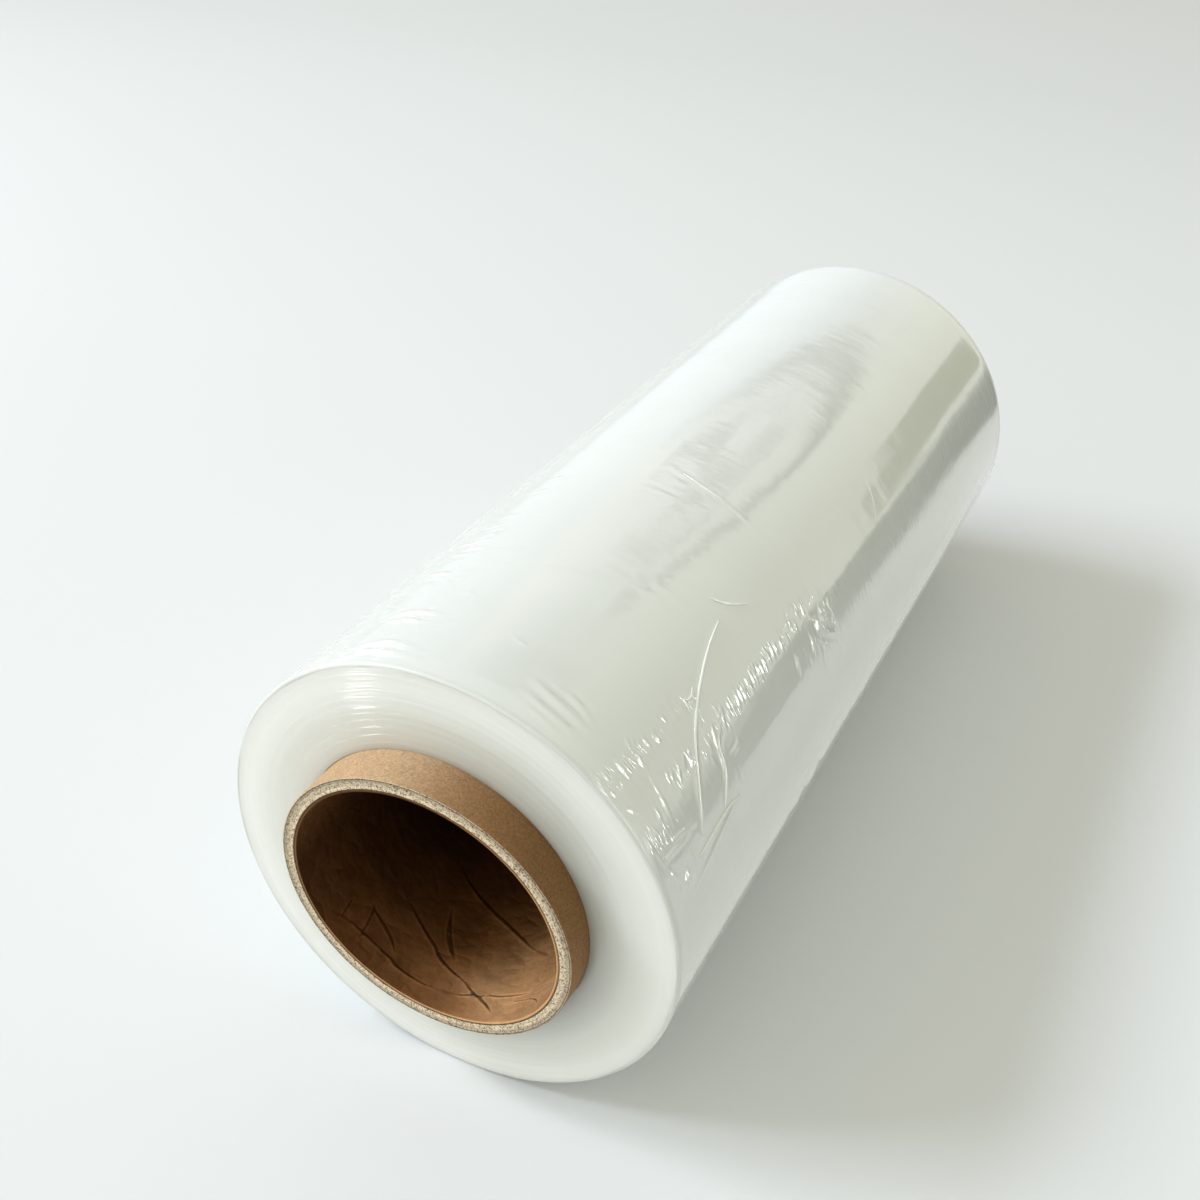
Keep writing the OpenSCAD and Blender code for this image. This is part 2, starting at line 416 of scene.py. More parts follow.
def ring_mesh(name, points, slot, **marks):
    """A closed ring: a loop of profile points, carried round the roll. Each cell of the looped
    grid is one face, so the surface has no border. Marks are values for each point, by name."""
    rows, columns = points.shape[:2]
    i, j = np.meshgrid(np.arange(rows), np.arange(columns), indexing="ij")
    next_i, next_j = (i + 1) % rows, (j + 1) % columns
    cells = np.stack([
        i * columns + j, i * columns + next_j, next_i * columns + next_j, next_i * columns + j,
    ], axis=-1)
    marks = {mark: value.reshape(-1) for mark, value in marks.items()}
    return finished_mesh(name, points.reshape(-1, 3), cells.reshape(-1, 4), slot, **marks)


def finished_mesh(name, points, cells, slot, **marks):
    """Makes a smooth mesh object from points in millimetres, and attaches it to the root body."""
    mesh = bpy.data.meshes.new(name)
    mesh.from_pydata((points * MM).tolist(), [], cells.tolist())
    for mark, value in marks.items():
        mesh.attributes.new(mark, "FLOAT", "POINT").data.foreach_set("value", value)
    work = bmesh.new()
    work.from_mesh(mesh)
    bmesh.ops.remove_doubles(work, verts=work.verts, dist=MERGED)
    bmesh.ops.dissolve_degenerate(work, edges=work.edges, dist=1e-7)
    work.to_mesh(mesh)
    work.free()
    mesh.shade_smooth()
    piece = bpy.data.objects.new(name, mesh)
    bpy.context.scene.collection.objects.link(piece)
    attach(piece, "root")
    return piece


def swell(arc, along):
    """Slow unevenness of the wound skin: waves along the roll that swell and fade round it, where
    the film's gauge varies across its width."""
    rng = np.random.default_rng(5)
    turn = np.radians(arc * DEG_PER_MM)
    height = 0
    for wave, size in ((140, 0.06), (83, 0.03), (47, 0.009), (29, 0.003)):
        lobes = rng.integers(1, 4)
        phase = rng.random(2) * 2 * math.pi
        height = height + size * np.sin(2 * math.pi * along / wave + phase[0]) * (
            0.6 + 0.4 * np.sin(lobes * turn + phase[1])
        )
    return height


def tail_step(arc, along, film):
    """0 before the loose tail and 1 past it. The tail's edge wanders a little along the roll."""
    edge = film.tail_angle / DEG_PER_MM + 1.2 * np.sin(along / 23) + 0.6 * np.sin(along / 7.3)
    edge = edge + along * math.tan(math.radians(TAIL_SLANT))
    ramp = np.clip((arc - edge) / 0.5 + 0.5, 0, 1)
    return ramp * ramp * (3 - 2 * ramp)


def loose_lift(arc, film):
    """How far the loose wrap stands off the roll: it is a round of the film's own radius, moved
    off the axis towards a point a little past its tail, so the gap closes within the turn."""
    crown = film.tail_angle + CROWN_LEAD
    swing = np.radians(arc * DEG_PER_MM - crown)
    lift = film.wrap_lift * np.cos(swing)
    return np.maximum(0, lift) * (np.abs(swing) < math.pi / 2)


def skin_radius(arc, along, film, relief=0):
    """Distance from the axis to the skin: the roll's radius, plus the loose wrap's lift, the slow
    swell and what stands on it, all of which fade out over the last millimetres at both ends."""
    ends = np.clip((FILM_END - np.abs(along)) / 6, 0.15, 1)
    lift = loose_lift(arc, film) * tail_step(arc, along, film)
    return FILM_R - SKIN_INSET + (relief + swell(arc, along) + lift) * ends


# Patches where the skin is drawn into fine gathers: the middle as angle and place, half the size
# in degrees and in millimetres, and how much it is drawn
GATHERED = (
    (54.5, -80, 2.6, 34, 1.0),
    (54.5, -132, 2.4, 8, 1.0),
    (43.5, -146, 1.8, 8, 0.5),
    (42.5, -158, 2.6, 3, 0.9),
    (64, -153, 8, 8, 0.5),
    (63, -46, 4.5, 9, 1.0),
    (54, -112, 2.6, 6, 0.6),
    (-18, -156, 10, 4.5, 0.5),
    (-17, -139, 9, 4, 0.5),
    (-22, -116, 7, 6, 0.4),
    (-22, -96, 5, 12, 0.5),
    (48, -118, 5, 8, 0.3),
)


def gathered(angle, along):
    """How much the skin is drawn into fine gathers, from 0 to 1: full in the middle of each patch
    and falling off smoothly to its sides."""
    total = np.zeros(np.broadcast(angle, along).shape)
    for place, middle, half_angle, half_length, share in GATHERED:
        off = ((angle - place) / half_angle) ** 4 + ((along - middle) / half_length) ** 4
        total = np.maximum(total, share * np.exp(-off))
    return total


def wound_skin(film):
    """The film's side as a ring. Its outer rows run from the front edge to the far one, round
    both bevels, and its hidden rows come back inside the roll. Below the floor it is cut flat.
    With it come its gloss, which fades on the bevels, the crinkle of a band along its right side,
    and the gathers."""
    flat_half = math.degrees(math.acos(AXIS_H / FILM_R))
    angle = steps_between(
        (-180 + flat_half, 3.0), (-50, 1.2), (-45, 0.5), (-35, 0.95), (18, 0.95), (36, 0.42),
        (76, 1.2), (90, 3.0), (180 - flat_half, 2.0), (180 + flat_half, 1.0),
    )[:-1]
    arc = angle / DEG_PER_MM
    bevel = film.bevel
    along = steps_between(
        (FRONT + bevel, 0.5), (-112, 0.43), (-48, 0.7), (-34, 3.0), (FILM_END - bevel,),
    )
    relief = np.zeros((len(along), len(arc)))
    for fold in skin_folds():
        add_fold(relief, arc, along, fold)
    skin = skin_radius(arc[None, :], along[:, None], film, relief)
    edge_wave = 0.05 * np.sin(arc / 9.1) + 0.03 * np.sin(arc / 3.7 + 1)
    hidden_r = FILM_R - 3
    hidden_y = FILM_END - 4

    def rounded(radius, end, sweeps):
        """Rows round one bevel: a quarter of a circle from the end face to the side."""
        made = []
        for sweep in np.radians(sweeps):
            place = end * (FILM_END - bevel * (1 - math.cos(sweep)) + edge_wave)
            made.append(round_place(radius - bevel * (1 - math.sin(sweep)), angle, place))
        return made

    rows = rounded(skin[0], -1, (0, 25, 50, 75))
    rows += [round_place(radius, angle, place) for radius, place in zip(skin, along)]
    rows += rounded(skin[-1], 1, (75, 50, 25, 0))
    rows.append(round_place(skin[-1] - 2 * bevel, angle, FILM_END - 0.3))
    rows.append(round_place(hidden_r, angle, hidden_y))
    rows.append(round_place(hidden_r, angle, -hidden_y))
    rows.append(round_place(skin[0] - 2 * bevel, angle, 0.3 - FILM_END))
    points = np.stack(rows)
    points[..., 2] = np.maximum(points[..., 2], 0)
    # The gloss mark also dims the film's colour on the bevels, as painted shade
    gloss = np.clip((FILM_END - 0.4 - np.abs(points[..., 1])) / 1.6, 0, 1)
    crinkle = np.exp(-((angle - 67) / 9) ** 4) * np.clip((points[..., 1] + 60) / 20, 0, 1)
    return points, gloss, crinkle, gathered(angle, points[..., 1])


# Thin rolled-up folds that stand clear of the skin: bends as angle and place, and half width
STRANDS = (
    (LONG_BEND, 0.42),
    (SHORT_BEND, 0.34),
    (((35, -84), (39, -80), (43, -73)), 0.34),
    (((70.5, -145), (69.9, -133), (69.8, -124.8), (70.7, -118)), 0.3),
    (((9, -40), (15, -42.2), (22, -43.6)), 0.2),
    (((47, 21), (53, 18), (59, 11)), 0.2),
    (((44.2, -114), (45.4, -116.6), (45.4, -118.6), (44.6, -119.6)), 0.26),
)


def strand(film, route, half_width, rings=48, sides=10):
    """One strand as a ring of points for each step along its route: an oval that lies on the skin,
    wider than high, and shrinks to a point at both ends."""
    line = smooth_line(route, steps=12)
    place = np.linspace(0, len(line) - 1, rings)
    angle = np.interp(place, np.arange(len(line)), line[:, 0])
    along = np.interp(place, np.arange(len(line)), line[:, 1])
    radius = skin_radius(angle / DEG_PER_MM, along, film)
    middle = round_place(radius + half_width * 0.45, angle, along)
    outward = round_place(1.0, angle, 0.0) - np.array([0, 0, AXIS_H])
    ahead = np.gradient(middle, axis=0)
    ahead /= np.linalg.norm(ahead, axis=1, keepdims=True)
    sideways = np.cross(outward, ahead)
    size = half_width * np.sin(np.pi * np.linspace(0, 1, rings)) ** 0.45
    turn = np.linspace(0, 2 * math.pi, sides, endpoint=False)
    flat = (np.cos(turn)[None, :, None] * sideways[:, None] * 1.2
            + np.sin(turn)[None, :, None] * outward[:, None])
    return middle[:, None] + flat * size[:, None, None]


def strands_mesh(film):
    """All strands as one set of points and quads. Each is a closed tube whose end rings have
    shrunk to a point."""
    points, cells, first = [], [], 0
    for route, half_width in STRANDS:
        tube = strand(film, route, half_width)
        rings, sides = tube.shape[:2]
        i, j = np.meshgrid(np.arange(rings - 1), np.arange(sides), indexing="ij")
        k = (j + 1) % sides
        cell = np.stack([i * sides + j, i * sides + k, (i + 1) * sides + k, (i + 1) * sides + j], -1)
        cells.append(first + cell.reshape(-1, 4))
        points.append(tube.reshape(-1, 3))
        first += rings * sides
    return np.concatenate(points), np.concatenate(cells)


def turn_profile():
    """Across one turn: place from 0 to 1, and how far its edge stands out, in millimetres. It
    rises slowly and falls away steeply, as an edge of film that the next turn has run past."""
    across = np.array([0, 0.12, 0.27, 0.42, 0.58, 0.74, 0.86, 0.92, 0.96])
    height = np.array([0.0, 0.002, 0.006, 0.010, 0.014, 0.018, 0.02, 0.013, 0.004])
    return across, height


def wound_turns(film, end, steps_round):
    """One end face. Its grid follows the spiral of turns: the radius grows by one pitch in each
    round, so a turn's step runs along the grid's own lines. Columns past the core or past the
    bevel close up onto it and are merged there."""
    across, height = turn_profile()
    per_turn = len(across)
    inner = CORE_R + 0.02
    outer = FILM_R - film.bevel
    pitch = (outer - CORE_R) / film.turns
    columns = per_turn * (film.turns + 2)
    k, j = np.meshgrid(np.arange(columns), np.arange(steps_round), indexing="ij")
    share = k // per_turn + across[k % per_turn] + j / steps_round - 1
    radius = np.clip(CORE_R + pitch * share, inner, outer)
    angle = film.tail_angle + FULL * j / steps_round
    rng = np.random.default_rng(9)
    turn = np.radians(angle)
    uneven = np.zeros(radius.shape)
    for wave, size in ((13.0, 0.05), (6.1, 0.012), (2.9, 0.006)):
        drift = rng.random(2) * 2 * math.pi
        uneven += size * np.sin(
            2 * math.pi * radius / wave + drift[0] + 0.7 * np.sin(turn + drift[1])
        )
    # Some turns show more clearly than others, and each does so more on two sides of the roll
    strength = 0.75 + 0.25 * np.sin(turn * 2 + 1) + 0.2 * np.sin(radius * 1.9)
    stand = height[k % per_turn] * strength + uneven
    # The face is flat where it meets the core and the bevel, a little inside the solid's end
    inside = np.clip((radius - CORE_R) / 1.5, 0, 1) * np.clip((outer - radius) / 1.0, 0, 1)
    inset = 0.05
    stand = stand * inside - inset
    front = round_place(radius, angle, end * (FILM_END + stand))
    hidden_y = end * (FILM_END - 2.5)
    outer_wall = round_place(np.full(steps_round, outer), angle[0], hidden_y)
    inner_wall = round_place(np.full(steps_round, inner), angle[0], hidden_y)
    grid = np.concatenate([inner_wall[None], front, outer_wall[None]])
    points = grid.reshape(-1, 3)
    rows = len(grid)
    i, j = np.meshgrid(np.arange(rows - 1), np.arange(steps_round), indexing="ij")
    last = j == steps_round - 1
    jump = np.where(last, per_turn, 0)

    def beside(row):
        """The index of the next point round the roll: past the last one it is a turn further out."""
        spiral = (row >= 1) & (row <= columns)
        moved = np.where(spiral, np.minimum(row + jump, columns), row)
        return moved * steps_round + (j + 1) % steps_round

    cells = np.stack([i * steps_round + j, (i + 1) * steps_round + j, beside(i + 1), beside(i)], -1)
    cells = cells.reshape(-1, 4)
    here = np.arange(steps_round)
    ahead = (here + 1) % steps_round
    outermost = (rows - 1) * steps_round
    back = np.stack([outermost + here, here, ahead, outermost + ahead], -1)
    cells = np.concatenate([cells, back])
    if end > 0:
        cells = cells[:, ::-1]
    # Cells that have closed up have no area, and are left out
    corner = points[cells]
    across_cell = np.cross(corner[:, 2] - corner[:, 0], corner[:, 3] - corner[:, 1])
    return points, cells[np.linalg.norm(across_cell, axis=1) > 1e-7]


def paper_noise(seed, angle, along, waves):
    """Soft unevenness of paper: a sum of waves that run round and along, with seeded phases."""
    rng = np.random.default_rng(seed)
    turn = np.radians(angle)
    total = np.zeros(np.broadcast(turn, along).shape)
    for lobes, wave, size in waves:
        shift = rng.random(3) * 2 * math.pi
        total += size * np.sin(lobes * turn + shift[0] + 1.3 * np.sin(along / wave + shift[1])) * (
            np.sin(2 * math.pi * along / wave + shift[2])
        )
    return total


def saw_skew(angle):
    """How far the core's front end lies behind a square cut, in millimetres: a plane about three
    degrees out of square, so that the end stands out most at the top and least at the bottom."""
    behind, to_right, to_top = 0.54, 0.77, 2.08
    turn = np.radians(angle)
    return behind + to_right * np.sin(turn) - to_top * np.cos(turn)


def rim_tone(tree, radius, core):
    """Tones of the cut rim from its outer edge in: a pale burr, a dark line behind it, a grey ply
    with open fibres, a paler ply, and the dark line where the liner meets the board."""
    inner = BORE_R + core.liner_t
    span = CORE_R - inner
    low, high = inner - 1, CORE_R + 1
    across = add(tree, "ShaderNodeMapRange", {
        "Value": radius, "From Min": low * MM, "From Max": high * MM,
    })
    tones = (
        (inner - 0.1, 0.14), (inner + 0.2, 0.2), (inner + 0.4, 1.1), (inner + 0.4 * span, 1.15),
        (inner + 0.5 * span, 0.88), (inner + 0.78 * span, 0.76), (inner + 0.83 * span, 0.3),
        (inner + 0.88 * span, 0.3), (inner + 0.92 * span, 1.4), (inner + span, 1.4),
    )
    ramp = add(tree, "ShaderNodeValToRGB", {"Fac": across.outputs[0]})
    set_tones(ramp, [((place - low) / (high - low), tone) for place, tone in tones])
    return ramp.outputs["Color"]


def board_shade(angle):
    """Painted light and shade for the board's face round the core: palest up on its left, towards the
    window, and deepest on its right, away from it."""
    stops = (
        (-180, 0.8), (-100, 0.95), (-20, 1.15), (0, 0.95), (15, 0.7), (30, 0.55), (60, 0.49),
        (80, 0.54), (110, 0.7), (180, 0.8),
    )
    turned = (angle + 180) % FULL - 180
    return np.interp(turned, *zip(*stops))


def core_board(core):
    """The board tube as a ring. The profile runs along the outside, over the sawn bevel, down the
    cut rim ply by ply and back through the bore under the liner. Where two plies meet the rim has
    a fine groove, and the sawn fibres leave it rough."""
    angle = np.arange(0, FULL, 0.5)
    board_in = BORE_R + core.liner_t
    hidden_y = FILM_END - 2
    outer_y = steps_between((hidden_y, 0.9), (CORE_END - core.bevel,))
    rim_r = np.linspace(CORE_R - core.bevel, board_in, 17)
    rng = np.random.default_rng(21)
    ply = (CORE_R - board_in) / core.plies
    joint_depth, joint_half = 0.22, 0.16
    fibre_rough, saw_wave = 0.035, 0.03
    face_rough, face_inset = 0.008, 0.03
    rows = []

    def rim(end):
        """The rows of one cut rim, from its outer edge inwards."""
        made = []
        for radius in rim_r:
            to_joint = abs((radius - board_in + ply / 2) % ply - ply / 2)
            groove = joint_depth * math.exp(-(to_joint / joint_half) ** 2)
            rough = rng.normal(0, fibre_rough, len(angle))
            rough = rough + saw_wave * np.sin(np.radians(angle) * 37 + radius * 5)
            made.append(round_place(radius, angle, end * (CORE_END - groove + rough)))
        return made

    def outside(end):
        """The rows of one bare end of the core, from the film to its bevel."""
        made = []
        for place in outer_y:
            dent = paper_noise(23, angle, np.array(place), ((3, 19, 0.05), (9, 7, 0.03)))
            dent = dent + rng.normal(0, face_rough, len(angle))
            made.append(round_place(CORE_R + dent - face_inset, angle, end * place))
        made.append(round_place(CORE_R - core.bevel * 0.4, angle, end * (CORE_END - 0.1)))
        return made

    rows += outside(-1)[::-1]
    rows += outside(1)
    rows += rim(1)
    rows.append(round_place(board_in, angle, CORE_END - 1))
    rows.append(round_place(board_in, angle, 1 - CORE_END))
    rows += rim(-1)[::-1]
    points = np.stack(rows)
    share = np.clip((-points[..., 1] - hidden_y) / (CORE_END - hidden_y), 0, 1)
    points[..., 1] += saw_skew(angle) * share
    sawn = np.zeros(points.shape[:2])
    far_rim = 2 * (len(outer_y) + 1)
    sawn[far_rim:far_rim + len(rim_r)] = 1
    sawn[-len(rim_r):] = 1
    # The shade mark is painted light and shade, by angle round the core
    return points, sawn, np.tile(board_shade(angle), (len(rows), 1))


# Creases in the liner: bends as angle and depth below the front rim, then height and half width
LINER_CREASES = (
    (((151, 29.4), (160, 32), (170, 35.6), (180, 38.8), (200, 44), (218, 50)), 0.8, 1.69),
    (((172, 13.5), (180, 15), (192, 17.5), (199, 20.6), (213, 25), (221, 27.5)), 0.85, 1.51),
    (((180, 9.4), (192, 8.2), (205, 8), (211, 8.8), (230, 8), (240, 5)), 0.8, 1.31),
    (((127.5, 3), (131, 7.5), (137.5, 10), (145, 10.2), (155, 9.4)), 0.6, 0.94),
    (((153.8, 4.4), (160, 8), (170, 11.5), (180, 15)), 0.8, 1.22),
    (((160, 13), (168, 11), (180, 9)), 0.6, 1.13),
    (((140, 14), (155, 12.5), (170, 11.5)), 0.4, 1.13),
    (((185, 18), (196, 26), (204, 36)), 0.35, 2.07),
    (((206, 9), (215, 14), (232, 17)), 0.3, 1.31),
    (((224, 4), (226, 12), (230, 20)), 0.3, 1.51),
    (((236, 5), (238, 14)), 0.3, 1.51),
    (((118, 20), (124, 32), (126, 48)), 0.25, 2.64),
)
# A dark scuff in the liner: its angle and depth, and half its size in degrees and millimetres
LINER_SCUFF = (168.5, 10.8, 2.2, 0.9)
# Depth over which the liner's rows fade from the skewed cut to square ones
SKEW_REACH = 60


def unskewed(angle, depth):
    """The depth on a square-cut tube that the skewed cut moves to the given depth."""
    skew = saw_skew(angle)
    return (depth - skew) / (1 - skew / SKEW_REACH)


# Painted shade of the liner: how bright it is at these angles, in a row for each depth below the
# nearer mouth
SHADE_ANGLES = (20, 110, 130, 150, 170, 190, 210, 230, 250, 270, 380)
SHADE_ROWS = (
    (5, (0.6, 0.92, 0.96, 1.1, 0.7, 0.41, 0.31, 0.3, 0.19, 0.14, 0.6)),
    (15, (0.5, 1.1, 1.42, 1.42, 1.02, 0.49, 0.38, 0.25, 0.15, 0.13, 0.5)),
    (30, (0.3, 1.0, 1.05, 1.45, 0.7, 0.28, 0.2, 0.12, 0.09, 0.08, 0.3)),
    (55, (0.15, 0.6, 0.7, 0.8, 0.4, 0.2, 0.08, 0.05, 0.04, 0.04, 0.15)),
)
# Painted light and shade on the liner's own cut edge in the front mouth, as angle and brightness
MOUTH_SHADE = (
    (0, 0.08), (30, 0.5), (50, 1.2), (60, 1.6), (90, 1.4), (120, 1.6), (180, 1.6), (210, 1.3),
    (250, 0.75), (290, 0.4), (330, 0.12), (360, 0.08),
)


def bore_shade(angle, along):
    """Painted shade for the paper in the bore: how much of the room's light reaches it, against open
    paper: much on the right side low down, where it faces the window through the mouth, little
    elsewhere, and least deep inside. Between two depths it changes along a smooth step."""
    depth = np.broadcast_to(CORE_END - np.abs(along), np.broadcast(angle, along).shape)
    turned = (np.broadcast_to(angle, depth.shape) - 20) % FULL + 20
    levels = [np.interp(turned, SHADE_ANGLES, row) for _, row in SHADE_ROWS]
    depths = [row_depth for row_depth, _ in SHADE_ROWS]
    total = levels[0]
    for near, far, low, high in zip(depths[:-1], depths[1:], levels[:-1], levels[1:]):
        share = np.clip((depth - near) / (far - near), 0, 1)
        share = share * share * (3 - 2 * share)
        total = np.where(depth > near, low + (high - low) * share, total)
    return total


def core_liner(core):
    """The paper in the bore as a ring. Its inner face is wrinkled: creases rise on one side and
    drop on the other where the tube was knocked, and slow waves run down it. Its front edge has
    lifted a little. The smooth paper lies just behind the solid's bore, as its creases stand."""
    angle = steps_between((0, 1.5), (112, 0.6), (245, 1.5), (FULL,))[:-1]
    board_in = BORE_R + core.liner_t
    depth = steps_between((0.2, 0.5), (52, 1.2), (90, 3.5), (2 * CORE_END - 0.2,))
    along = depth - CORE_END
    relief = np.zeros((len(along), len(angle)))
    marks = np.zeros(relief.shape)
    arc = angle / DEG_PER_MM
    for bends, height, width in LINER_CREASES:
        bends = [(place, unskewed(place, deep)) for place, deep in bends]
        add_fold(relief, arc, depth, (bends, height, width), break_over, marks)
    a, y = np.meshgrid(angle, along)
    relief += paper_noise(31, a, y, ((5, 61, 0.16), (11, 33, 0.10), (19, 15, 0.05), (31, 41, 0.04)))
    mouth = 5
    fade = np.clip((CORE_END - np.abs(along)) / mouth, 0, 1)[:, None]
    sunk = 0.12
    inner = BORE_R + sunk - relief * fade
    # The front edge has lifted off the board on the left of the bore
    lip = 0.18 * np.clip(np.sin(np.radians(angle - 150)), 0, 1)
    middle = (BORE_R + board_in) / 2
    rows = [round_place(board_in - 0.02, angle, y) for y in (-CORE_END + 0.1, CORE_END - 0.1)]
    rows.append(round_place(middle, angle, CORE_END + 0.02))
    rows += [round_place(r, angle, y) for r, y in zip(inner[::-1], along[::-1])]
    rows.append(round_place(BORE_R + 0.25 - lip, angle, -CORE_END + 0.05))
    rows.append(round_place(middle - lip, angle, -CORE_END - 0.03))
    points = np.stack(rows)
    share = np.clip(1 - (points[..., 1] + CORE_END) / SKEW_REACH, 0, 1)
    points[..., 1] += saw_skew(angle) * share
    place, deep, half_angle, half_depth = LINER_SCUFF
    deep = unskewed(place, deep)
    scuff = np.exp(-((angle - place) / half_angle) ** 4 - ((depth[:, None] - deep) / half_depth) ** 4)
    edges = np.zeros((len(rows), len(angle)))
    spots = edges.copy()
    edges[3:-2] = marks[::-1]
    spots[3:-2] = scuff[::-1]
    # Painted shade down the bore, and painted light and shade on the cut edge in the front mouth
    shade = bore_shade(angle, points[..., 1])
    shade[-2:] = np.interp(angle, *zip(*MOUTH_SHADE))
    return points, edges, spots, shade


def add(tree, kind, inputs=None, **settings):
    """Adds a node with its settings, and gives each input a value or a link. Inputs are named, or
    counted where names repeat: a Mix node's share is 0, its numbers are 2 and 3 and its colours 6
    and 7, and a vector's scale is 3."""
    made = tree.nodes.new(kind)
    for name, value in settings.items():
        setattr(made, name, value)
    for name, value in (inputs or {}).items():
        if isinstance(value, bpy.types.NodeSocket):
            tree.links.new(value, made.inputs[name])
        else:
            made.inputs[name].default_value = value
    return made


def new_material(name):
    """An empty node material with an output, as the material, its tree and its output."""
    material = bpy.data.materials.new(name)
    material.use_nodes = True
    tree = material.node_tree
    tree.nodes.clear()
    return material, tree, add(tree, "ShaderNodeOutputMaterial")


def tinted(colour, share):
    """A colour with its light scaled by a share, and an alpha of 1."""
    return tuple(channel * share for channel in colour) + (1.0,)


def set_tones(ramp, tones, tint=(1.0, 1.0, 1.0)):
    """Gives a colour ramp its tones, each at a place from 0 to 1, instead of its black start."""
    elements = ramp.color_ramp.elements
    elements.remove(elements[0])
    for place, tone in tones:
        elements.new(place).color = tuple(tone * part for part in tint) + (1.0,)


def stretched_noise(tree, place, across, along, detail=3):
    """Noise whose grain is so many millimetres across the roll and so many along it."""
    scale = (1 / (across * MM), 1 / (along * MM), 1 / (across * MM))
    moved = add(tree, "ShaderNodeMapping", {"Vector": place, "Scale": scale})
    noise = add(tree, "ShaderNodeTexNoise", {
        "Vector": moved.outputs[0], "Scale": 1, "Detail": detail,
    })
    return noise.outputs["Fac"]


def film_skin(film):
    """Blown LLDPE stretch film, wound tight: hundreds of clear layers scatter as milk, and the
    loose outer layers reflect like wet glass. Fine lines run round the roll, where the film was
    stretched as it was wound."""
    material, tree, output = new_material("lldpe_film_skin")
    place = add(tree, "ShaderNodeTexCoord").outputs["Object"]
    cloud = stretched_noise(tree, place, 60, 34)
    colour = add(tree, "ShaderNodeMix", {
        0: cloud, 6: tinted(film.milk, 0.95), 7: tinted(film.milk, 1.04),
    }, data_type="RGBA")
    lines = stretched_noise(tree, place, 45, 2.2)
    fine = stretched_noise(tree, place, 16, 0.7, detail=2)
    slow = stretched_noise(tree, place, 30, 12)
    soft = add(tree, "ShaderNodeBump", {"Height": lines, "Strength": 1, "Distance": 0.00002})
    hair = add(tree, "ShaderNodeBump", {
        "Height": fine, "Strength": 1, "Distance": 0.000006, "Normal": soft.outputs[0],
    })
    drift = add(tree, "ShaderNodeBump", {
        "Height": slow, "Strength": 1, "Distance": 0.00012, "Normal": hair.outputs[0],
    })
    crinkled = add(tree, "ShaderNodeAttribute", attribute_name="crinkle").outputs["Fac"]
    drawn = stretched_noise(tree, place, 7, 1.5, detail=2)
    pulled = add(tree, "ShaderNodeMath", {0: drawn, 1: crinkled}, operation="MULTIPLY")
    crinkles = add(tree, "ShaderNodeBump", {
        "Height": pulled.outputs[0], "Strength": 1, "Distance": 0.00013, "Normal": drift.outputs[0],
    })
    gathers = add(tree, "ShaderNodeAttribute", attribute_name="gathers").outputs["Fac"]
    strokes = add(tree, "ShaderNodeMapRange", {
        "Value": stretched_noise(tree, place, 4.2, 0.8, detail=1.5),
        "From Min": 0.54, "From Max": 0.72,
    })
    clumps = add(tree, "ShaderNodeMapRange", {
        "Value": stretched_noise(tree, place, 7, 5, detail=1), "From Min": 0.38, "From Max": 0.58,
    })
    clumped = add(tree, "ShaderNodeMath", {0: clumps.outputs[0], 1: gathers}, operation="MULTIPLY")
    stood = add(tree, "ShaderNodeMath", {
        0: strokes.outputs[0], 1: clumped.outputs[0],
    }, operation="MULTIPLY")
    gathered_up = add(tree, "ShaderNodeBump", {
        "Height": stood.outputs[0], "Strength": 1, "Distance": 0.0003, "Normal": crinkles.outputs[0],
    })
    gloss = add(tree, "ShaderNodeAttribute", attribute_name="gloss").outputs["Fac"]
    rough = add(tree, "ShaderNodeMapRange", {"Value": gloss, "To Min": 0.45, "To Max": 0.16})
    # Painted shade: the film's colour is a tenth darker on the bevels, where the gloss fades
    bevel_shade = add(tree, "ShaderNodeMapRange", {"Value": gloss, "To Min": 0.9, "To Max": 1.0})
    toned = add(tree, "ShaderNodeVectorMath", {
        0: colour.outputs[2], 3: bevel_shade.outputs[0],
    }, operation="SCALE")
    shader = add(tree, "ShaderNodeBsdfPrincipled", {
        "Base Color": toned.outputs[0],
        "Roughness": rough.outputs[0],
        "IOR": 1.5,
        "Subsurface Weight": 0.25,
        "Subsurface Radius": (1.0, 1.0, 0.9),
        "Subsurface Scale": 0.002,
        "Coat Weight": gloss,
        "Coat IOR": 1.75,
        "Coat Roughness": 0.035,
        "Normal": gathered_up.outputs[0],
        "Coat Normal": gathered_up.outputs[0],
    })
    tree.links.new(shader.outputs[0], output.inputs["Surface"])
    return material


def rolled_fold(film):
    """The same film rolled up on itself in a thin fold: whiter, as more of its faces scatter."""
    material, tree, output = new_material("lldpe_film_fold")
    shader = add(tree, "ShaderNodeBsdfPrincipled", {
        "Base Color": tinted(film.edge, 1.05),
        "Roughness": 0.22,
        "IOR": 1.5,
        "Coat Weight": 0.6,
        "Coat Roughness": 0.08,
    })
    tree.links.new(shader.outputs[0], output.inputs["Surface"])
    return material


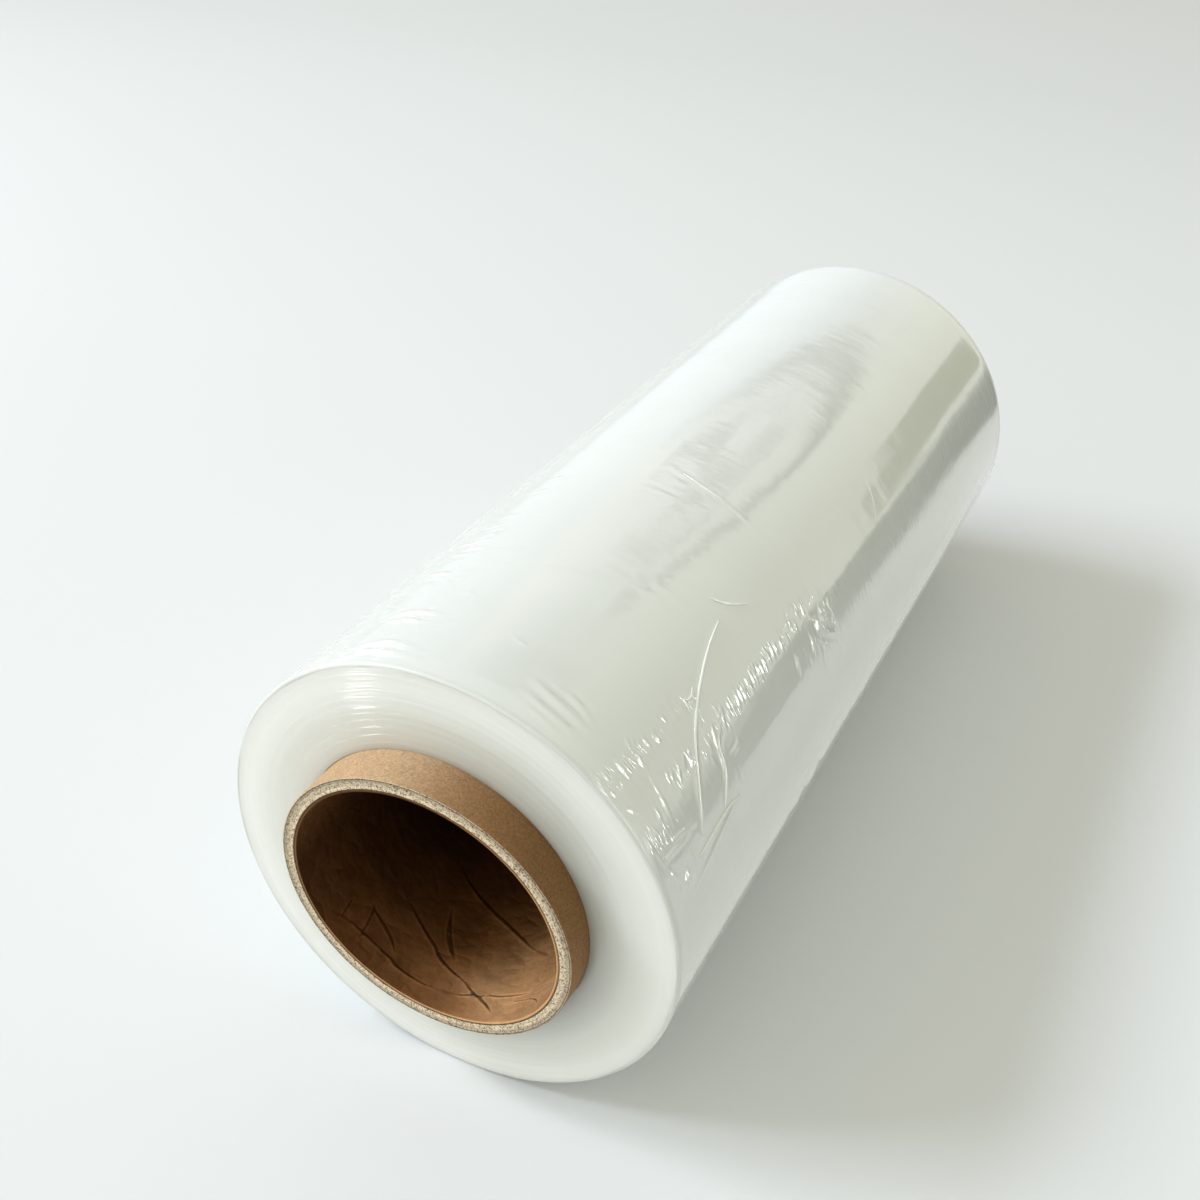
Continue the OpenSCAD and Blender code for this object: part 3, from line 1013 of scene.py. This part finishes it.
def film_edges(film):
    """The cut edges of the same film, hundreds side by side. Under their satin gloss fine grooves run
    round the axis, so that a light draws short dashes along one radius, as on a disc. Their colour has
    painted shade that greys them the closer they lie to the core, deepest on its lower right as the
    core's painted shadow, and painted light that brightens their side towards the window."""
    material, tree, output = new_material("lldpe_film_edges")
    place = add(tree, "ShaderNodeTexCoord").outputs["Object"]
    centred = add(tree, "ShaderNodeVectorMath", {
        0: place, 1: (0, 0, AXIS_H * MM),
    }, operation="SUBTRACT")
    flat = add(tree, "ShaderNodeVectorMath", {
        0: centred.outputs[0], 1: (1, 0, 1),
    }, operation="MULTIPLY")
    radius = add(tree, "ShaderNodeVectorMath", {0: flat.outputs[0]}, operation="LENGTH")
    bearing = add(tree, "ShaderNodeVectorMath", {0: flat.outputs[0]}, operation="NORMALIZE")

    def rings(pitch, turn, detail):
        """Noise that changes within a pitch across the turns, in millimetres, and slowly round."""
        out = add(tree, "ShaderNodeMath", {
            0: radius.outputs["Value"], 1: 1 / (pitch * MM),
        }, operation="MULTIPLY")
        away = add(tree, "ShaderNodeCombineXYZ", {1: out.outputs[0]})
        round_it = add(tree, "ShaderNodeVectorMath", {
            0: bearing.outputs[0], 3: turn,
        }, operation="SCALE")
        where = add(tree, "ShaderNodeVectorMath", {0: away.outputs[0], 1: round_it.outputs[0]})
        noise = add(tree, "ShaderNodeTexNoise", {
            "Vector": where.outputs[0], "Scale": 1, "Detail": detail,
        })
        return noise.outputs["Fac"]

    bands = rings(7, 0.4, 1)
    banded = add(tree, "ShaderNodeMix", {
        0: bands, 6: tinted(film.edge, 0.975), 7: tinted(film.edge, 1.02),
    }, data_type="RGBA")
    outward = add(tree, "ShaderNodeMapRange", {
        "Value": radius.outputs["Value"], "From Min": CORE_R * MM, "From Max": FILM_R * MM,
    })
    # Painted shade: the edges grey towards the core and are palest at the rim
    depth = add(tree, "ShaderNodeValToRGB", {"Fac": outward.outputs[0]})
    tones = ((0, 0.6), (0.08, 0.72), (0.25, 0.79), (0.5, 0.88), (0.8, 1.02), (1, 1.04))
    set_tones(depth, tones, (1.0, 1.01, 1.0))
    toned = add(tree, "ShaderNodeMix", {
        0: 1.0, 6: banded.outputs[2], 7: depth.outputs["Color"],
    }, data_type="RGBA", blend_type="MULTIPLY")
    # Painted light on the side of the face towards the window
    towards = add(tree, "ShaderNodeVectorMath", {
        0: bearing.outputs[0], 1: (-0.97, 0, 0.26),
    }, operation="DOT_PRODUCT")
    lit = add(tree, "ShaderNodeMapRange", {
        "Value": towards.outputs["Value"], "From Min": -0.2, "To Min": 0.96, "To Max": 1.07,
    })
    brightened = add(tree, "ShaderNodeMix", {
        0: 1.0, 6: toned.outputs[2], 7: lit.outputs[0],
    }, data_type="RGBA", blend_type="MULTIPLY")
    # Painted shadow of the core, on the face's lower right close to the core
    leeward = add(tree, "ShaderNodeVectorMath", {
        0: bearing.outputs[0], 1: (0.87, 0, -0.5),
    }, operation="DOT_PRODUCT")
    sheltered = add(tree, "ShaderNodeMapRange", {
        "Value": leeward.outputs["Value"], "From Max": 1, "To Min": 1, "To Max": 0.7,
    })
    by_core = add(tree, "ShaderNodeMapRange", {
        "Value": outward.outputs[0], "From Max": 0.45, "To Min": 1, "To Max": 0,
    })
    painted_core_shadow = add(tree, "ShaderNodeMix", {0: by_core.outputs[0], 2: 1.0, 3: sheltered.outputs[0]})
    colour = add(tree, "ShaderNodeMix", {
        0: 1.0, 6: brightened.outputs[2], 7: painted_core_shadow.outputs[0],
    }, data_type="RGBA", blend_type="MULTIPLY")
    soft = add(tree, "ShaderNodeBump", {"Height": bands, "Strength": 1, "Distance": 0.00004})
    grooves = add(tree, "ShaderNodeBump", {
        "Height": rings(1.35, 1.6, 2), "Strength": 1, "Distance": 0.00023,
    })
    shader = add(tree, "ShaderNodeBsdfPrincipled", {
        "Base Color": colour.outputs[2],
        "Roughness": 0.4,
        "IOR": 1.4,
        "Subsurface Weight": 0.4,
        "Subsurface Radius": (1.0, 1.05, 0.95),
        "Subsurface Scale": 0.004,
        "Normal": soft.outputs[0],
        "Coat Weight": 1.0,
        "Coat IOR": 1.5,
        "Coat Roughness": 0.075,
        "Coat Normal": grooves.outputs[0],
    })
    tree.links.new(shader.outputs[0], output.inputs["Surface"])
    return material


def shaded_paper(tree, colour, deep):
    """The paper's colour times its shade attribute, which is painted light and shade. Deep painted
    shade is also browner, as light that gets there has met brown paper on its way, and is tinted
    towards the deep colour."""
    shade = add(tree, "ShaderNodeAttribute", attribute_name="shade").outputs["Fac"]
    warmth = add(tree, "ShaderNodeMix", {
        0: shade, 6: deep + (1.0,), 7: (1.0, 1.0, 1.0, 1),
    }, data_type="RGBA")
    level = add(tree, "ShaderNodeMix", {
        0: 1.0, 6: colour, 7: warmth.outputs[2],
    }, data_type="RGBA", blend_type="MULTIPLY")
    darkened = add(tree, "ShaderNodeVectorMath", {0: level.outputs[2], 3: shade}, operation="SCALE")
    return darkened.outputs[0]


def kraft_board(core):
    """Recycled kraft board, wound and glued: matt brown with a mottle of fibre clumps 0.7 mm wide
    under clouds of 11 mm. The sawn rim is paler and greyer, with open pores of 0.6 mm between the
    fibres."""
    material, tree, output = new_material("kraft_core_board")
    place = add(tree, "ShaderNodeTexCoord").outputs["Object"]
    clumps = add(tree, "ShaderNodeTexNoise", {
        "Vector": place, "Scale": 1500, "Detail": 5, "Roughness": 0.7,
    })
    clouds = add(tree, "ShaderNodeTexNoise", {"Vector": place, "Scale": 90, "Detail": 3})
    face = add(tree, "ShaderNodeMix", {
        0: clumps.outputs["Fac"], 6: tinted(core.kraft, 0.16), 7: tinted(core.kraft, 1.82),
    }, data_type="RGBA")
    shade = add(tree, "ShaderNodeMix", {
        0: clouds.outputs["Fac"], 6: (0.82, 0.8, 0.78, 1), 7: (1.12, 1.12, 1.12, 1),
    }, data_type="RGBA")
    clouded = add(tree, "ShaderNodeMix", {
        0: 1.0, 6: face.outputs[2], 7: shade.outputs[2],
    }, data_type="RGBA", blend_type="MULTIPLY")
    # Painted light and shade round the core from the shade mark, browner where the painted shade is
    # deep
    mottled = shaded_paper(tree, clouded.outputs[2], (0.9, 0.47, 0.02))
    pores = add(tree, "ShaderNodeTexNoise", {
        "Vector": place, "Scale": 1700, "Detail": 4, "Roughness": 0.8,
    })
    dark = add(tree, "ShaderNodeMapRange", {
        "Value": pores.outputs["Fac"], "From Min": 0.38, "From Max": 0.52,
    })
    sawn = add(tree, "ShaderNodeMix", {
        0: dark.outputs[0], 6: tinted(core.kraft, 0.22), 7: tinted(core.cut, 1.12),
    }, data_type="RGBA")
    apart = add(tree, "ShaderNodeSeparateXYZ", {0: place})
    on_rim = add(tree, "ShaderNodeAttribute", attribute_name="sawn").outputs["Fac"]
    up = add(tree, "ShaderNodeMath", {0: apart.outputs["Z"], 1: AXIS_H * MM}, operation="SUBTRACT")
    flat = add(tree, "ShaderNodeCombineXYZ", {0: apart.outputs["X"], 1: up.outputs[0]})
    radius = add(tree, "ShaderNodeVectorMath", {0: flat.outputs[0]}, operation="LENGTH")
    plied = add(tree, "ShaderNodeMix", {
        0: 1.0, 6: sawn.outputs[2], 7: rim_tone(tree, radius.outputs["Value"], core),
    }, data_type="RGBA", blend_type="MULTIPLY")
    colour = add(tree, "ShaderNodeMix", {
        0: on_rim, 6: mottled, 7: plied.outputs[2],
    }, data_type="RGBA")
    bump = add(tree, "ShaderNodeBump", {
        "Height": pores.outputs["Fac"], "Strength": 0.9, "Distance": 0.00012,
    })
    shader = add(tree, "ShaderNodeBsdfPrincipled", {
        "Base Color": colour.outputs[2],
        "Roughness": 0.85,
        "Specular IOR Level": 0.12,
        "Normal": bump.outputs[0],
    })
    tree.links.new(shader.outputs[0], output.inputs["Surface"])
    return material


def liner_paper(core):
    """Thin brown liner paper, matt, darker in its creases with dirt and painted shade, and pale on the
    ridges beside them as painted highlights. Its grain is 0.9 mm wide. It is knocked about all over in
    low, sharp-edged dents 10 mm wide, and has one grey scuff."""
    material, tree, output = new_material("kraft_liner_paper")
    place = add(tree, "ShaderNodeTexCoord").outputs["Object"]
    grain = add(tree, "ShaderNodeTexNoise", {
        "Vector": place, "Scale": 1100, "Detail": 5, "Roughness": 0.7,
    })
    clouds = stretched_noise(tree, place, 9, 26)
    fibre = add(tree, "ShaderNodeMix", {
        0: grain.outputs["Fac"], 6: tinted(core.liner, 0.68), 7: tinted(core.liner, 1.28),
    }, data_type="RGBA")
    shade = add(tree, "ShaderNodeMix", {
        0: clouds, 6: (0.75, 0.73, 0.71, 1), 7: (1.2, 1.2, 1.2, 1),
    }, data_type="RGBA")
    shaded = add(tree, "ShaderNodeMix", {
        0: 1.0, 6: fibre.outputs[2], 7: shade.outputs[2],
    }, data_type="RGBA", blend_type="MULTIPLY")
    crease = add(tree, "ShaderNodeAttribute", attribute_name="crease").outputs["Fac"]
    # Painted highlights on the ridges beside each crease, and dirt with painted shade in the crease
    # itself
    ridges = add(tree, "ShaderNodeValToRGB", {"Fac": crease})
    set_tones(ridges, ((0, 1.0), (0.2, 1.02), (0.42, 1.4), (0.58, 1.15), (0.76, 0.42), (1, 0.2)))
    broken = add(tree, "ShaderNodeMix", {
        0: 1.0, 6: shaded.outputs[2], 7: ridges.outputs["Color"],
    }, data_type="RGBA", blend_type="MULTIPLY")
    scuff = add(tree, "ShaderNodeAttribute", attribute_name="scuff").outputs["Fac"]
    scuffed = add(tree, "ShaderNodeMix", {
        0: scuff, 6: broken.outputs[2], 7: from_hex("#3c4046") + (1.0,),
    }, data_type="RGBA")
    # The liner's colour carries painted shade down the bore from its shade mark
    colour = shaded_paper(tree, scuffed.outputs[2], (1.0, 0.66, 0.3))
    streaks = stretched_noise(tree, place, 1.4, 12)
    streaked = add(tree, "ShaderNodeBump", {
        "Height": streaks, "Strength": 0.7, "Distance": 0.0002,
    })
    knocked = add(tree, "ShaderNodeTexNoise", {"Vector": place, "Scale": 105, "Detail": 2.5})
    from_middle = add(tree, "ShaderNodeMath", {
        0: knocked.outputs["Fac"], 1: 0.5,
    }, operation="SUBTRACT")
    ridged = add(tree, "ShaderNodeMath", {0: from_middle.outputs[0]}, operation="ABSOLUTE")
    dented = add(tree, "ShaderNodeBump", {
        "Height": ridged.outputs[0], "Strength": 1, "Distance": 0.0025,
        "Normal": streaked.outputs[0],
    })
    rough = add(tree, "ShaderNodeBump", {
        "Height": grain.outputs["Fac"], "Strength": 0.6, "Distance": 0.00008,
        "Normal": dented.outputs[0],
    })
    shader = add(tree, "ShaderNodeBsdfPrincipled", {
        "Base Color": colour,
        "Roughness": 0.62,
        "Specular IOR Level": 0.12,
        "Normal": rough.outputs[0],
    })
    tree.links.new(shader.outputs[0], output.inputs["Surface"])
    return material


class ROLL_OT_film_side(Operator):
    """Replace the plain wound film by its glossy, folded skin"""

    bl_idname = "roll.film_side"
    bl_label = "Film side"

    def execute(self, context):
        film = context.scene.roll_film
        material = film_skin(film)
        points, gloss, crinkle, gathers = wound_skin(film)
        skin = ring_mesh(
            "film_side", points, "stretch_film", gloss=gloss, crinkle=crinkle, gathers=gathers,
        )
        skin.data.materials.append(material)
        strands = finished_mesh("film_strands", *strands_mesh(film), "stretch_film")
        strands.data.materials.append(rolled_fold(film))
        for piece in (skin, strands):
            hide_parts("wound_film")
        return {"FINISHED"}


class ROLL_OT_film_turns(Operator):
    """Add the two end faces, where the turns of film are seen edge on"""

    bl_idname = "roll.film_turns"
    bl_label = "Film turns"

    def execute(self, context):
        film = context.scene.roll_film
        material = film_edges(film)
        for name, end, steps in (("front_turns", -1, 600), ("far_turns", 1, 360)):
            points, cells = wound_turns(film, end, steps)
            piece = finished_mesh(name, points, cells, "stretch_film")
            piece.data.materials.append(material)
            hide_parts("wound_film")
        return {"FINISHED"}


class ROLL_OT_core(Operator):
    """Replace the plain core by its board and the paper in its bore"""

    bl_idname = "roll.core"
    bl_label = "Paper core"

    def execute(self, context):
        core = context.scene.roll_core
        points, sawn, shade = core_board(core)
        board = ring_mesh("core_board", points, "core_board", sawn=sawn, shade=shade)
        board.data.materials.append(kraft_board(core))
        points, creases, scuff, shade = core_liner(core)
        liner = ring_mesh("core_liner", points, "core_board", crease=creases, scuff=scuff, shade=shade)
        liner.data.materials.append(liner_paper(core))
        for piece in (board, liner):
            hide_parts("core_tube")
        return {"FINISHED"}


def floor_material(colour):
    """Matt painted board, even and pale, with painted shade that makes it a shade deeper towards the
    back.
    """
    material, tree, output = new_material("painted_floor")
    place = add(tree, "ShaderNodeTexCoord").outputs["Object"]
    apart = add(tree, "ShaderNodeSeparateXYZ", {0: place})
    # Painted shade: the floor's colour deepens towards the back
    back = add(tree, "ShaderNodeMapRange", {
        "Value": apart.outputs["Y"], "From Min": 0.25, "From Max": 1.2,
    })
    tone = add(tree, "ShaderNodeMix", {
        0: back.outputs[0], 6: tinted(colour, 1), 7: tinted(colour, 0.915),
    }, data_type="RGBA")
    shader = add(tree, "ShaderNodeBsdfPrincipled", {
        "Base Color": tone.outputs[2], "Roughness": 0.9, "Specular IOR Level": 0.1,
    })
    tree.links.new(shader.outputs[0], output.inputs["Surface"])
    return material


def glow_material(name, colour, strength):
    """A card of light that fades out where its glow attribute falls to nothing."""
    material, tree, output = new_material(name)
    glow = add(tree, "ShaderNodeAttribute", attribute_name="glow").outputs["Fac"]
    clear = add(tree, "ShaderNodeBsdfTransparent")
    light = add(tree, "ShaderNodeEmission", {"Color": tinted(colour, 1), "Strength": strength})
    mix = add(tree, "ShaderNodeMixShader", {0: glow, 1: clear.outputs[0], 2: light.outputs[0]})
    tree.links.new(mix.outputs[0], output.inputs["Surface"])
    return material


def stage_card(name, points, cells, glow, material):
    """A card that only glossy surfaces see."""
    mesh = bpy.data.meshes.new(name)
    mesh.from_pydata(points.tolist(), [], cells)
    attribute = mesh.attributes.new("glow", "FLOAT", "POINT")
    attribute.data.foreach_set("value", np.asarray(glow, float))
    card = bpy.data.objects.new(name, mesh)
    bpy.context.scene.collection.objects.link(card)
    mesh.materials.append(material)
    card.visible_camera = False
    card.visible_diffuse = False
    card.visible_shadow = False
    card.visible_transmission = False
    card.visible_volume_scatter = False


def toward(azimuth, elevation, distance):
    """A point in metres in a direction: azimuth from +Y towards +X, elevation above the floor."""
    a, e = np.radians(azimuth), np.radians(elevation)
    return distance * np.stack([np.sin(a) * np.cos(e), np.cos(a) * np.cos(e), np.sin(e)], axis=-1)


def sky_patch(name, outline, blur, distance, colour, strength, opacity=1.0):
    """A patch of the room as seen from the roll. Its rim lies half the blur outside the outline,
    and its light comes in from there to half the blur inside it."""
    rim = np.array(outline, float)
    middle = rim.mean(axis=0)
    away = rim - middle
    reach = np.linalg.norm(away, axis=1, keepdims=True)
    inner = middle + away * (1 - blur / 2 / reach)
    outer = middle + away * (1 + blur / 2 / reach)
    flat = np.vstack([middle[None], inner, outer])
    count = len(rim)
    cells = []
    for i in range(count):
        j = (i + 1) % count
        cells.append((0, 1 + i, 1 + j))
        cells.append((1 + i, 1 + count + i, 1 + count + j, 1 + j))
    glow = np.concatenate([[1], np.ones(count), np.zeros(count)]) * opacity
    points = toward(flat[:, 0], flat[:, 1], distance) + np.array([0, 0, AXIS_H * MM])
    stage_card(name, points, cells, glow, glow_material(name, colour, strength))


def sky_line(name, route, half_width, distance, colour, strength, opacity=1.0):
    """A soft line across the room as seen from the roll, such as a window bar. The route's points
    are azimuth and elevation, and the light is full at its middle and nothing at its sides."""
    line = smooth_line(route)
    ahead = np.gradient(line, axis=0)
    ahead /= np.linalg.norm(ahead, axis=1, keepdims=True)
    side = np.stack([-ahead[:, 1], ahead[:, 0]], axis=-1) * half_width
    flat = np.concatenate([line - side, line, line + side])
    count = len(line)
    cells = []
    for i in range(count - 1):
        for band in (0, count):
            cells.append((band + i, band + i + 1, band + count + i + 1, band + count + i))
    fade = np.sin(np.pi * np.linspace(0.02, 0.98, count)) ** 0.3
    glow = np.concatenate([np.zeros(count), fade, np.zeros(count)]) * opacity
    points = toward(flat[:, 0], flat[:, 1], distance) + np.array([0, 0, AXIS_H * MM])
    stage_card(name, points, cells, glow, glow_material(name, colour, strength))


def floor_card(name, corners, glow, colour, strength):
    """A patch of the floor as the roll sees it, from its corners as X and Y in metres."""
    flat = np.array(corners)
    points = np.column_stack([flat, np.full(len(flat), CARD_H)])
    cell = tuple(range(len(flat)))
    stage_card(name, points, [cell], glow, glow_material(name, colour, strength))


def reflected_room():
    """What the glossy film sees of the room: a bright window behind it with a dark arch and folds
    of curtain across, a glow on the left, a low block with a pale edge on the right, a window on
    either side, a far strip of dark floor, the paler floor close by, and a lit strip of it in
    front on the left."""
    white = from_hex("#ffffff")
    grey = from_hex("#4c4a47")
    arch = ((-26, 24.6), (-18, 26.4), (-10, 27.3), (0, 27.6), (10, 27.2), (15.6, 27), (17, 29),
            (15.4, 33.5), (12, 38.3), (8.5, 41.6), (3, 43))
    sky_patch(
        "window", ((-32, 24), (-12, 28), (-2, 28.5), (2, 32), (-3, 37), (-12, 42), (-34, 41)),
        5, 3.0, white, 1.0,
    )
    sky_patch(
        "left_glow", ((-52, -14), (-52, 4), (-40, 26), (-10, 22), (-12, -16)), 14, 3.05,
        from_hex("#f3faff"), 1.05,
    )
    sky_line("window_arch", arch, 2.1, 2.95, grey, 0.4, 1.0)
    smudges = (
        (((-22, 29.6), (-14, 31.6), (-8, 33)), 1.8, 1.0),
        (((-16, 31), (-8, 34.6), (0, 35.4)), 1.0, 0.9),
        (((-8, 37), (-3, 36.6), (2, 35.4), (8, 34)), 1.3, 0.9),
        (((-1, 33), (4, 32.4), (8, 31.6)), 1.2, 0.8),
        (((-14, 38.8), (-4, 39.9), (4, 39.2), (9, 36)), 1.1, 0.85),
        (((-14, 30.4), (-6, 30.8), (0, 30.5)), 0.8, 0.5),
        (((-24, 46), (-8, 47.5), (8, 47), (20, 45)), 3.5, 0.4),
    )
    for route, half_width, share in smudges:
        sky_line("curtain_fold", route, half_width, 2.9, grey, 1.1, share)
    sky_patch(
        "low_block", ((21, 1.7), (20.5, 11.5), (26.8, 13.2), (28.4, 9.6), (31, 7.6), (32.2, 0.5),
                      (29.8, 0.5), (28.6, 1.7)), 0.8,
        2.85, from_hex("#b5b088"), 0.72, 0.9,
    )
    sky_line("block_edge", ((20.5, 0.8), (25, 0.7), (30, 0.3)), 0.45, 2.8, white, 1.0, 0.6)
    sky_patch("side_window", ((60, 3), (60, 34), (86, 40), (86, 3)), 4, 2.8, white, 9.0)
    sky_patch("left_window", ((-60, 8), (-60, 34), (-84, 38), (-84, 8)), 4, 2.8, white, 4.0)
    far_floor = (
        (0.12, 0.54), (0.17, 0.44), (0.2, 0.43), (0.222, 0.4), (0.23, 0.345), (0.266, 0.338),
        (0.296, 0.29), (0.298, 0.215), (0.3, 0.15), (0.332, 0.118), (0.36, 0.08), (1.3, 0.85),
        (1.0, 0.8), (0.8, 0.66), (0.86, 0.79), (1.065, 1.109), (5.0, 5.6), (5.0, 6.6),
        (1.9, 3.2), (1.02, 1.87), (1.04, 2.0), (1.13, 2.35), (1.3, 2.9), (1.15, 2.95),
    )
    towards_back = [y / x for x, y in far_floor]
    fading = np.clip(0.4 + 0.32 * np.array(towards_back), 0.6, 0.92)
    floor_card("far_floor", far_floor, fading, from_hex("#6c6c60"), 0.68)
    near_floor = (
        (0.066, -0.32), (0.066, 0.2), (0.12, 0.5), (0.165, 0.432), (0.196, 0.422), (0.216, 0.395),
        (0.224, 0.338), (0.262, 0.33), (0.288, 0.286), (0.29, 0.212), (0.293, 0.146),
        (0.326, 0.112), (0.36, 0.07), (1.3, 0.84), (3.2, 0.9), (3.2, -2.4), (0.6, -2.4),
    )
    floor_card("near_floor", near_floor, np.full(len(near_floor), 0.6), from_hex("#e9ebe4"), 0.98)
    beam = (
        (-0.137, -0.321), (-0.142, -0.305), (-0.31, -0.486), (-0.44, -0.605), (-0.87, -1.0),
        (-0.87, -1.13), (-0.44, -0.675), (-0.31, -0.535),
    )
    floor_card("lit_floor", beam, np.ones(len(beam)), white, 7.0)


def room_light(strength):
    """The world: soft light from all round, strongest from the upper left in front, and a pale
    room where camera or gloss sees it. The gloss sees it cool on the left and brighter and warmer
    on the right."""
    world = bpy.data.worlds.new("pale_room")
    bpy.context.scene.world = world
    world.use_nodes = True
    tree = world.node_tree
    tree.nodes.clear()
    path = add(tree, "ShaderNodeLightPath")
    ahead = add(tree, "ShaderNodeTexCoord").outputs["Generated"]
    facing = add(tree, "ShaderNodeVectorMath", {
        0: ahead, 1: (-0.42, -0.56, 0.71),
    }, operation="DOT_PRODUCT")
    half = add(tree, "ShaderNodeMapRange", {"Value": facing.outputs["Value"], "From Min": -1})
    steep = add(tree, "ShaderNodeMath", {0: half.outputs[0], 1: 1.6}, operation="POWER")
    level = add(tree, "ShaderNodeMath", {
        0: steep.outputs[0], 1: 1.5 * strength, 2: 0.2 * strength,
    }, operation="MULTIPLY_ADD")
    light = add(tree, "ShaderNodeBackground", {
        "Color": (1.0, 1.0, 0.86, 1), "Strength": level.outputs[0],
    })
    seen = add(tree, "ShaderNodeBackground", {"Color": (0.9, 0.93, 0.92, 1), "Strength": 0.92})
    sideways = add(tree, "ShaderNodeSeparateXYZ", {0: ahead})
    to_right = add(tree, "ShaderNodeMapRange", {
        "Value": sideways.outputs["X"], "From Min": -0.3, "From Max": 0.3,
    }, interpolation_type="SMOOTHSTEP")
    wall_tone = add(tree, "ShaderNodeMix", {
        0: to_right.outputs[0], 6: (0.79, 0.83, 0.9, 1), 7: (1.13, 1.16, 1.0, 1),
    }, data_type="RGBA")
    wall = add(tree, "ShaderNodeBackground", {"Color": wall_tone.outputs[2], "Strength": 1.0})
    gloss = add(tree, "ShaderNodeMixShader", {
        0: path.outputs["Is Glossy Ray"], 1: light.outputs[0], 2: wall.outputs[0],
    })
    camera = add(tree, "ShaderNodeMixShader", {
        0: path.outputs["Is Camera Ray"], 1: gloss.outputs[0], 2: seen.outputs[0],
    })
    output = add(tree, "ShaderNodeOutputWorld")
    tree.links.new(camera.outputs[0], output.inputs["Surface"])


def window_lamps(power):
    """Two soft square panes of one window on the left, 42 and 45 degrees up: each casts its own
    shadow of the roll, so the floor is darkest where both are hidden."""
    panes = (
        ("front_pane", (-2.52, -1.56, 2.64), 0.45),
        ("back_pane", (-2.64, -0.72, 2.76), 0.55),
    )
    side = 0.84
    daylight = (0.82, 0.875, 1.0)
    for name, place, share in panes:
        lamp = bpy.data.lights.new(name, "AREA")
        lamp.shape = "RECTANGLE"
        lamp.size = side
        lamp.size_y = side
        lamp.energy = power * share
        lamp.color = daylight
        placed = bpy.data.objects.new(name, lamp)
        bpy.context.scene.collection.objects.link(placed)
        placed.location = place
        aim = Vector((0, 0, 0.05)) - placed.location
        placed.rotation_euler = aim.to_track_quat("-Z", "Y").to_euler()


def photo_camera():
    """The camera of the photograph, from where it stood, the way it looked and its lens. It stands
    in front of the roll on the right, level from side to side, and looks down at it."""
    lens = bpy.data.cameras.new("camera")
    lens.lens = 40.95
    lens.sensor_width = 36
    lens.clip_start = 0.01
    camera = bpy.data.objects.new("camera", lens)
    bpy.context.scene.collection.objects.link(camera)
    place = (0.1537, -0.3745, 0.3171)
    right = Vector((0.8907, 0.4546, 0.0)).normalized()
    forward = Vector((-0.3847, 0.7537, -0.5329)).normalized()
    up = right.cross(forward)
    turn = Matrix((right, up, -forward)).transposed().to_4x4()
    camera.matrix_world = Matrix.Translation(place) @ turn
    bpy.context.scene.camera = camera


class ROLL_OT_stage(Operator):
    """Set up the floor, the room that the film reflects, the window lamps and the camera"""

    bl_idname = "roll.stage"
    bl_label = "Stage"

    def execute(self, context):
        stage = context.scene.roll_stage
        half = 4.0
        corners = [(-half, -half, 0), (half, -half, 0), (half, half, 0), (-half, half, 0)]
        mesh = bpy.data.meshes.new("floor")
        mesh.from_pydata(corners, [], [(0, 1, 2, 3)])
        mesh.materials.append(floor_material(stage.floor))
        floor = bpy.data.objects.new("floor", mesh)
        context.scene.collection.objects.link(floor)
        # The floor lies a hair under the roll's flat spot, so that the two are never one plane
        floor.location = (0, 0, -0.0002)
        reflected_room()
        room_light(stage.sky)
        window_lamps(stage.window)
        photo_camera()
        context.scene.view_settings.view_transform = "Standard"
        return {"FINISHED"}


STEPS = (ROLL_OT_stage, ROLL_OT_film_side, ROLL_OT_film_turns, ROLL_OT_core)


class ROLL_PT_panel(Panel):
    """Sizes, colours and steps of the roll"""

    bl_idname = "ROLL_PT_panel"
    bl_label = "Wrap roll"
    bl_space_type = "VIEW_3D"
    bl_region_type = "UI"
    bl_category = "Wrap roll"

    def draw(self, context):
        layout = self.layout
        for group in (context.scene.roll_film, context.scene.roll_core, context.scene.roll_stage):
            box = layout.box()
            for name in group.__annotations__:
                box.prop(group, name)
        for step in STEPS:
            layout.operator(step.bl_idname)


CLASSES = (FilmSettings, CoreSettings, StageSettings) + STEPS + (ROLL_PT_panel,)


def register():
    for kind in CLASSES:
        bpy.utils.register_class(kind)
    bpy.types.Scene.roll_film = PointerProperty(type=FilmSettings)
    bpy.types.Scene.roll_core = PointerProperty(type=CoreSettings)
    bpy.types.Scene.roll_stage = PointerProperty(type=StageSettings)


def unregister():
    del bpy.types.Scene.roll_stage
    del bpy.types.Scene.roll_core
    del bpy.types.Scene.roll_film
    for kind in reversed(CLASSES):
        bpy.utils.unregister_class(kind)


def main():
    """Dresses the roll step by step."""
    register()
    bpy.ops.roll.stage()
    bpy.ops.roll.film_side()
    bpy.ops.roll.film_turns()
    bpy.ops.roll.core()


if __name__ == "__main__":
    main()
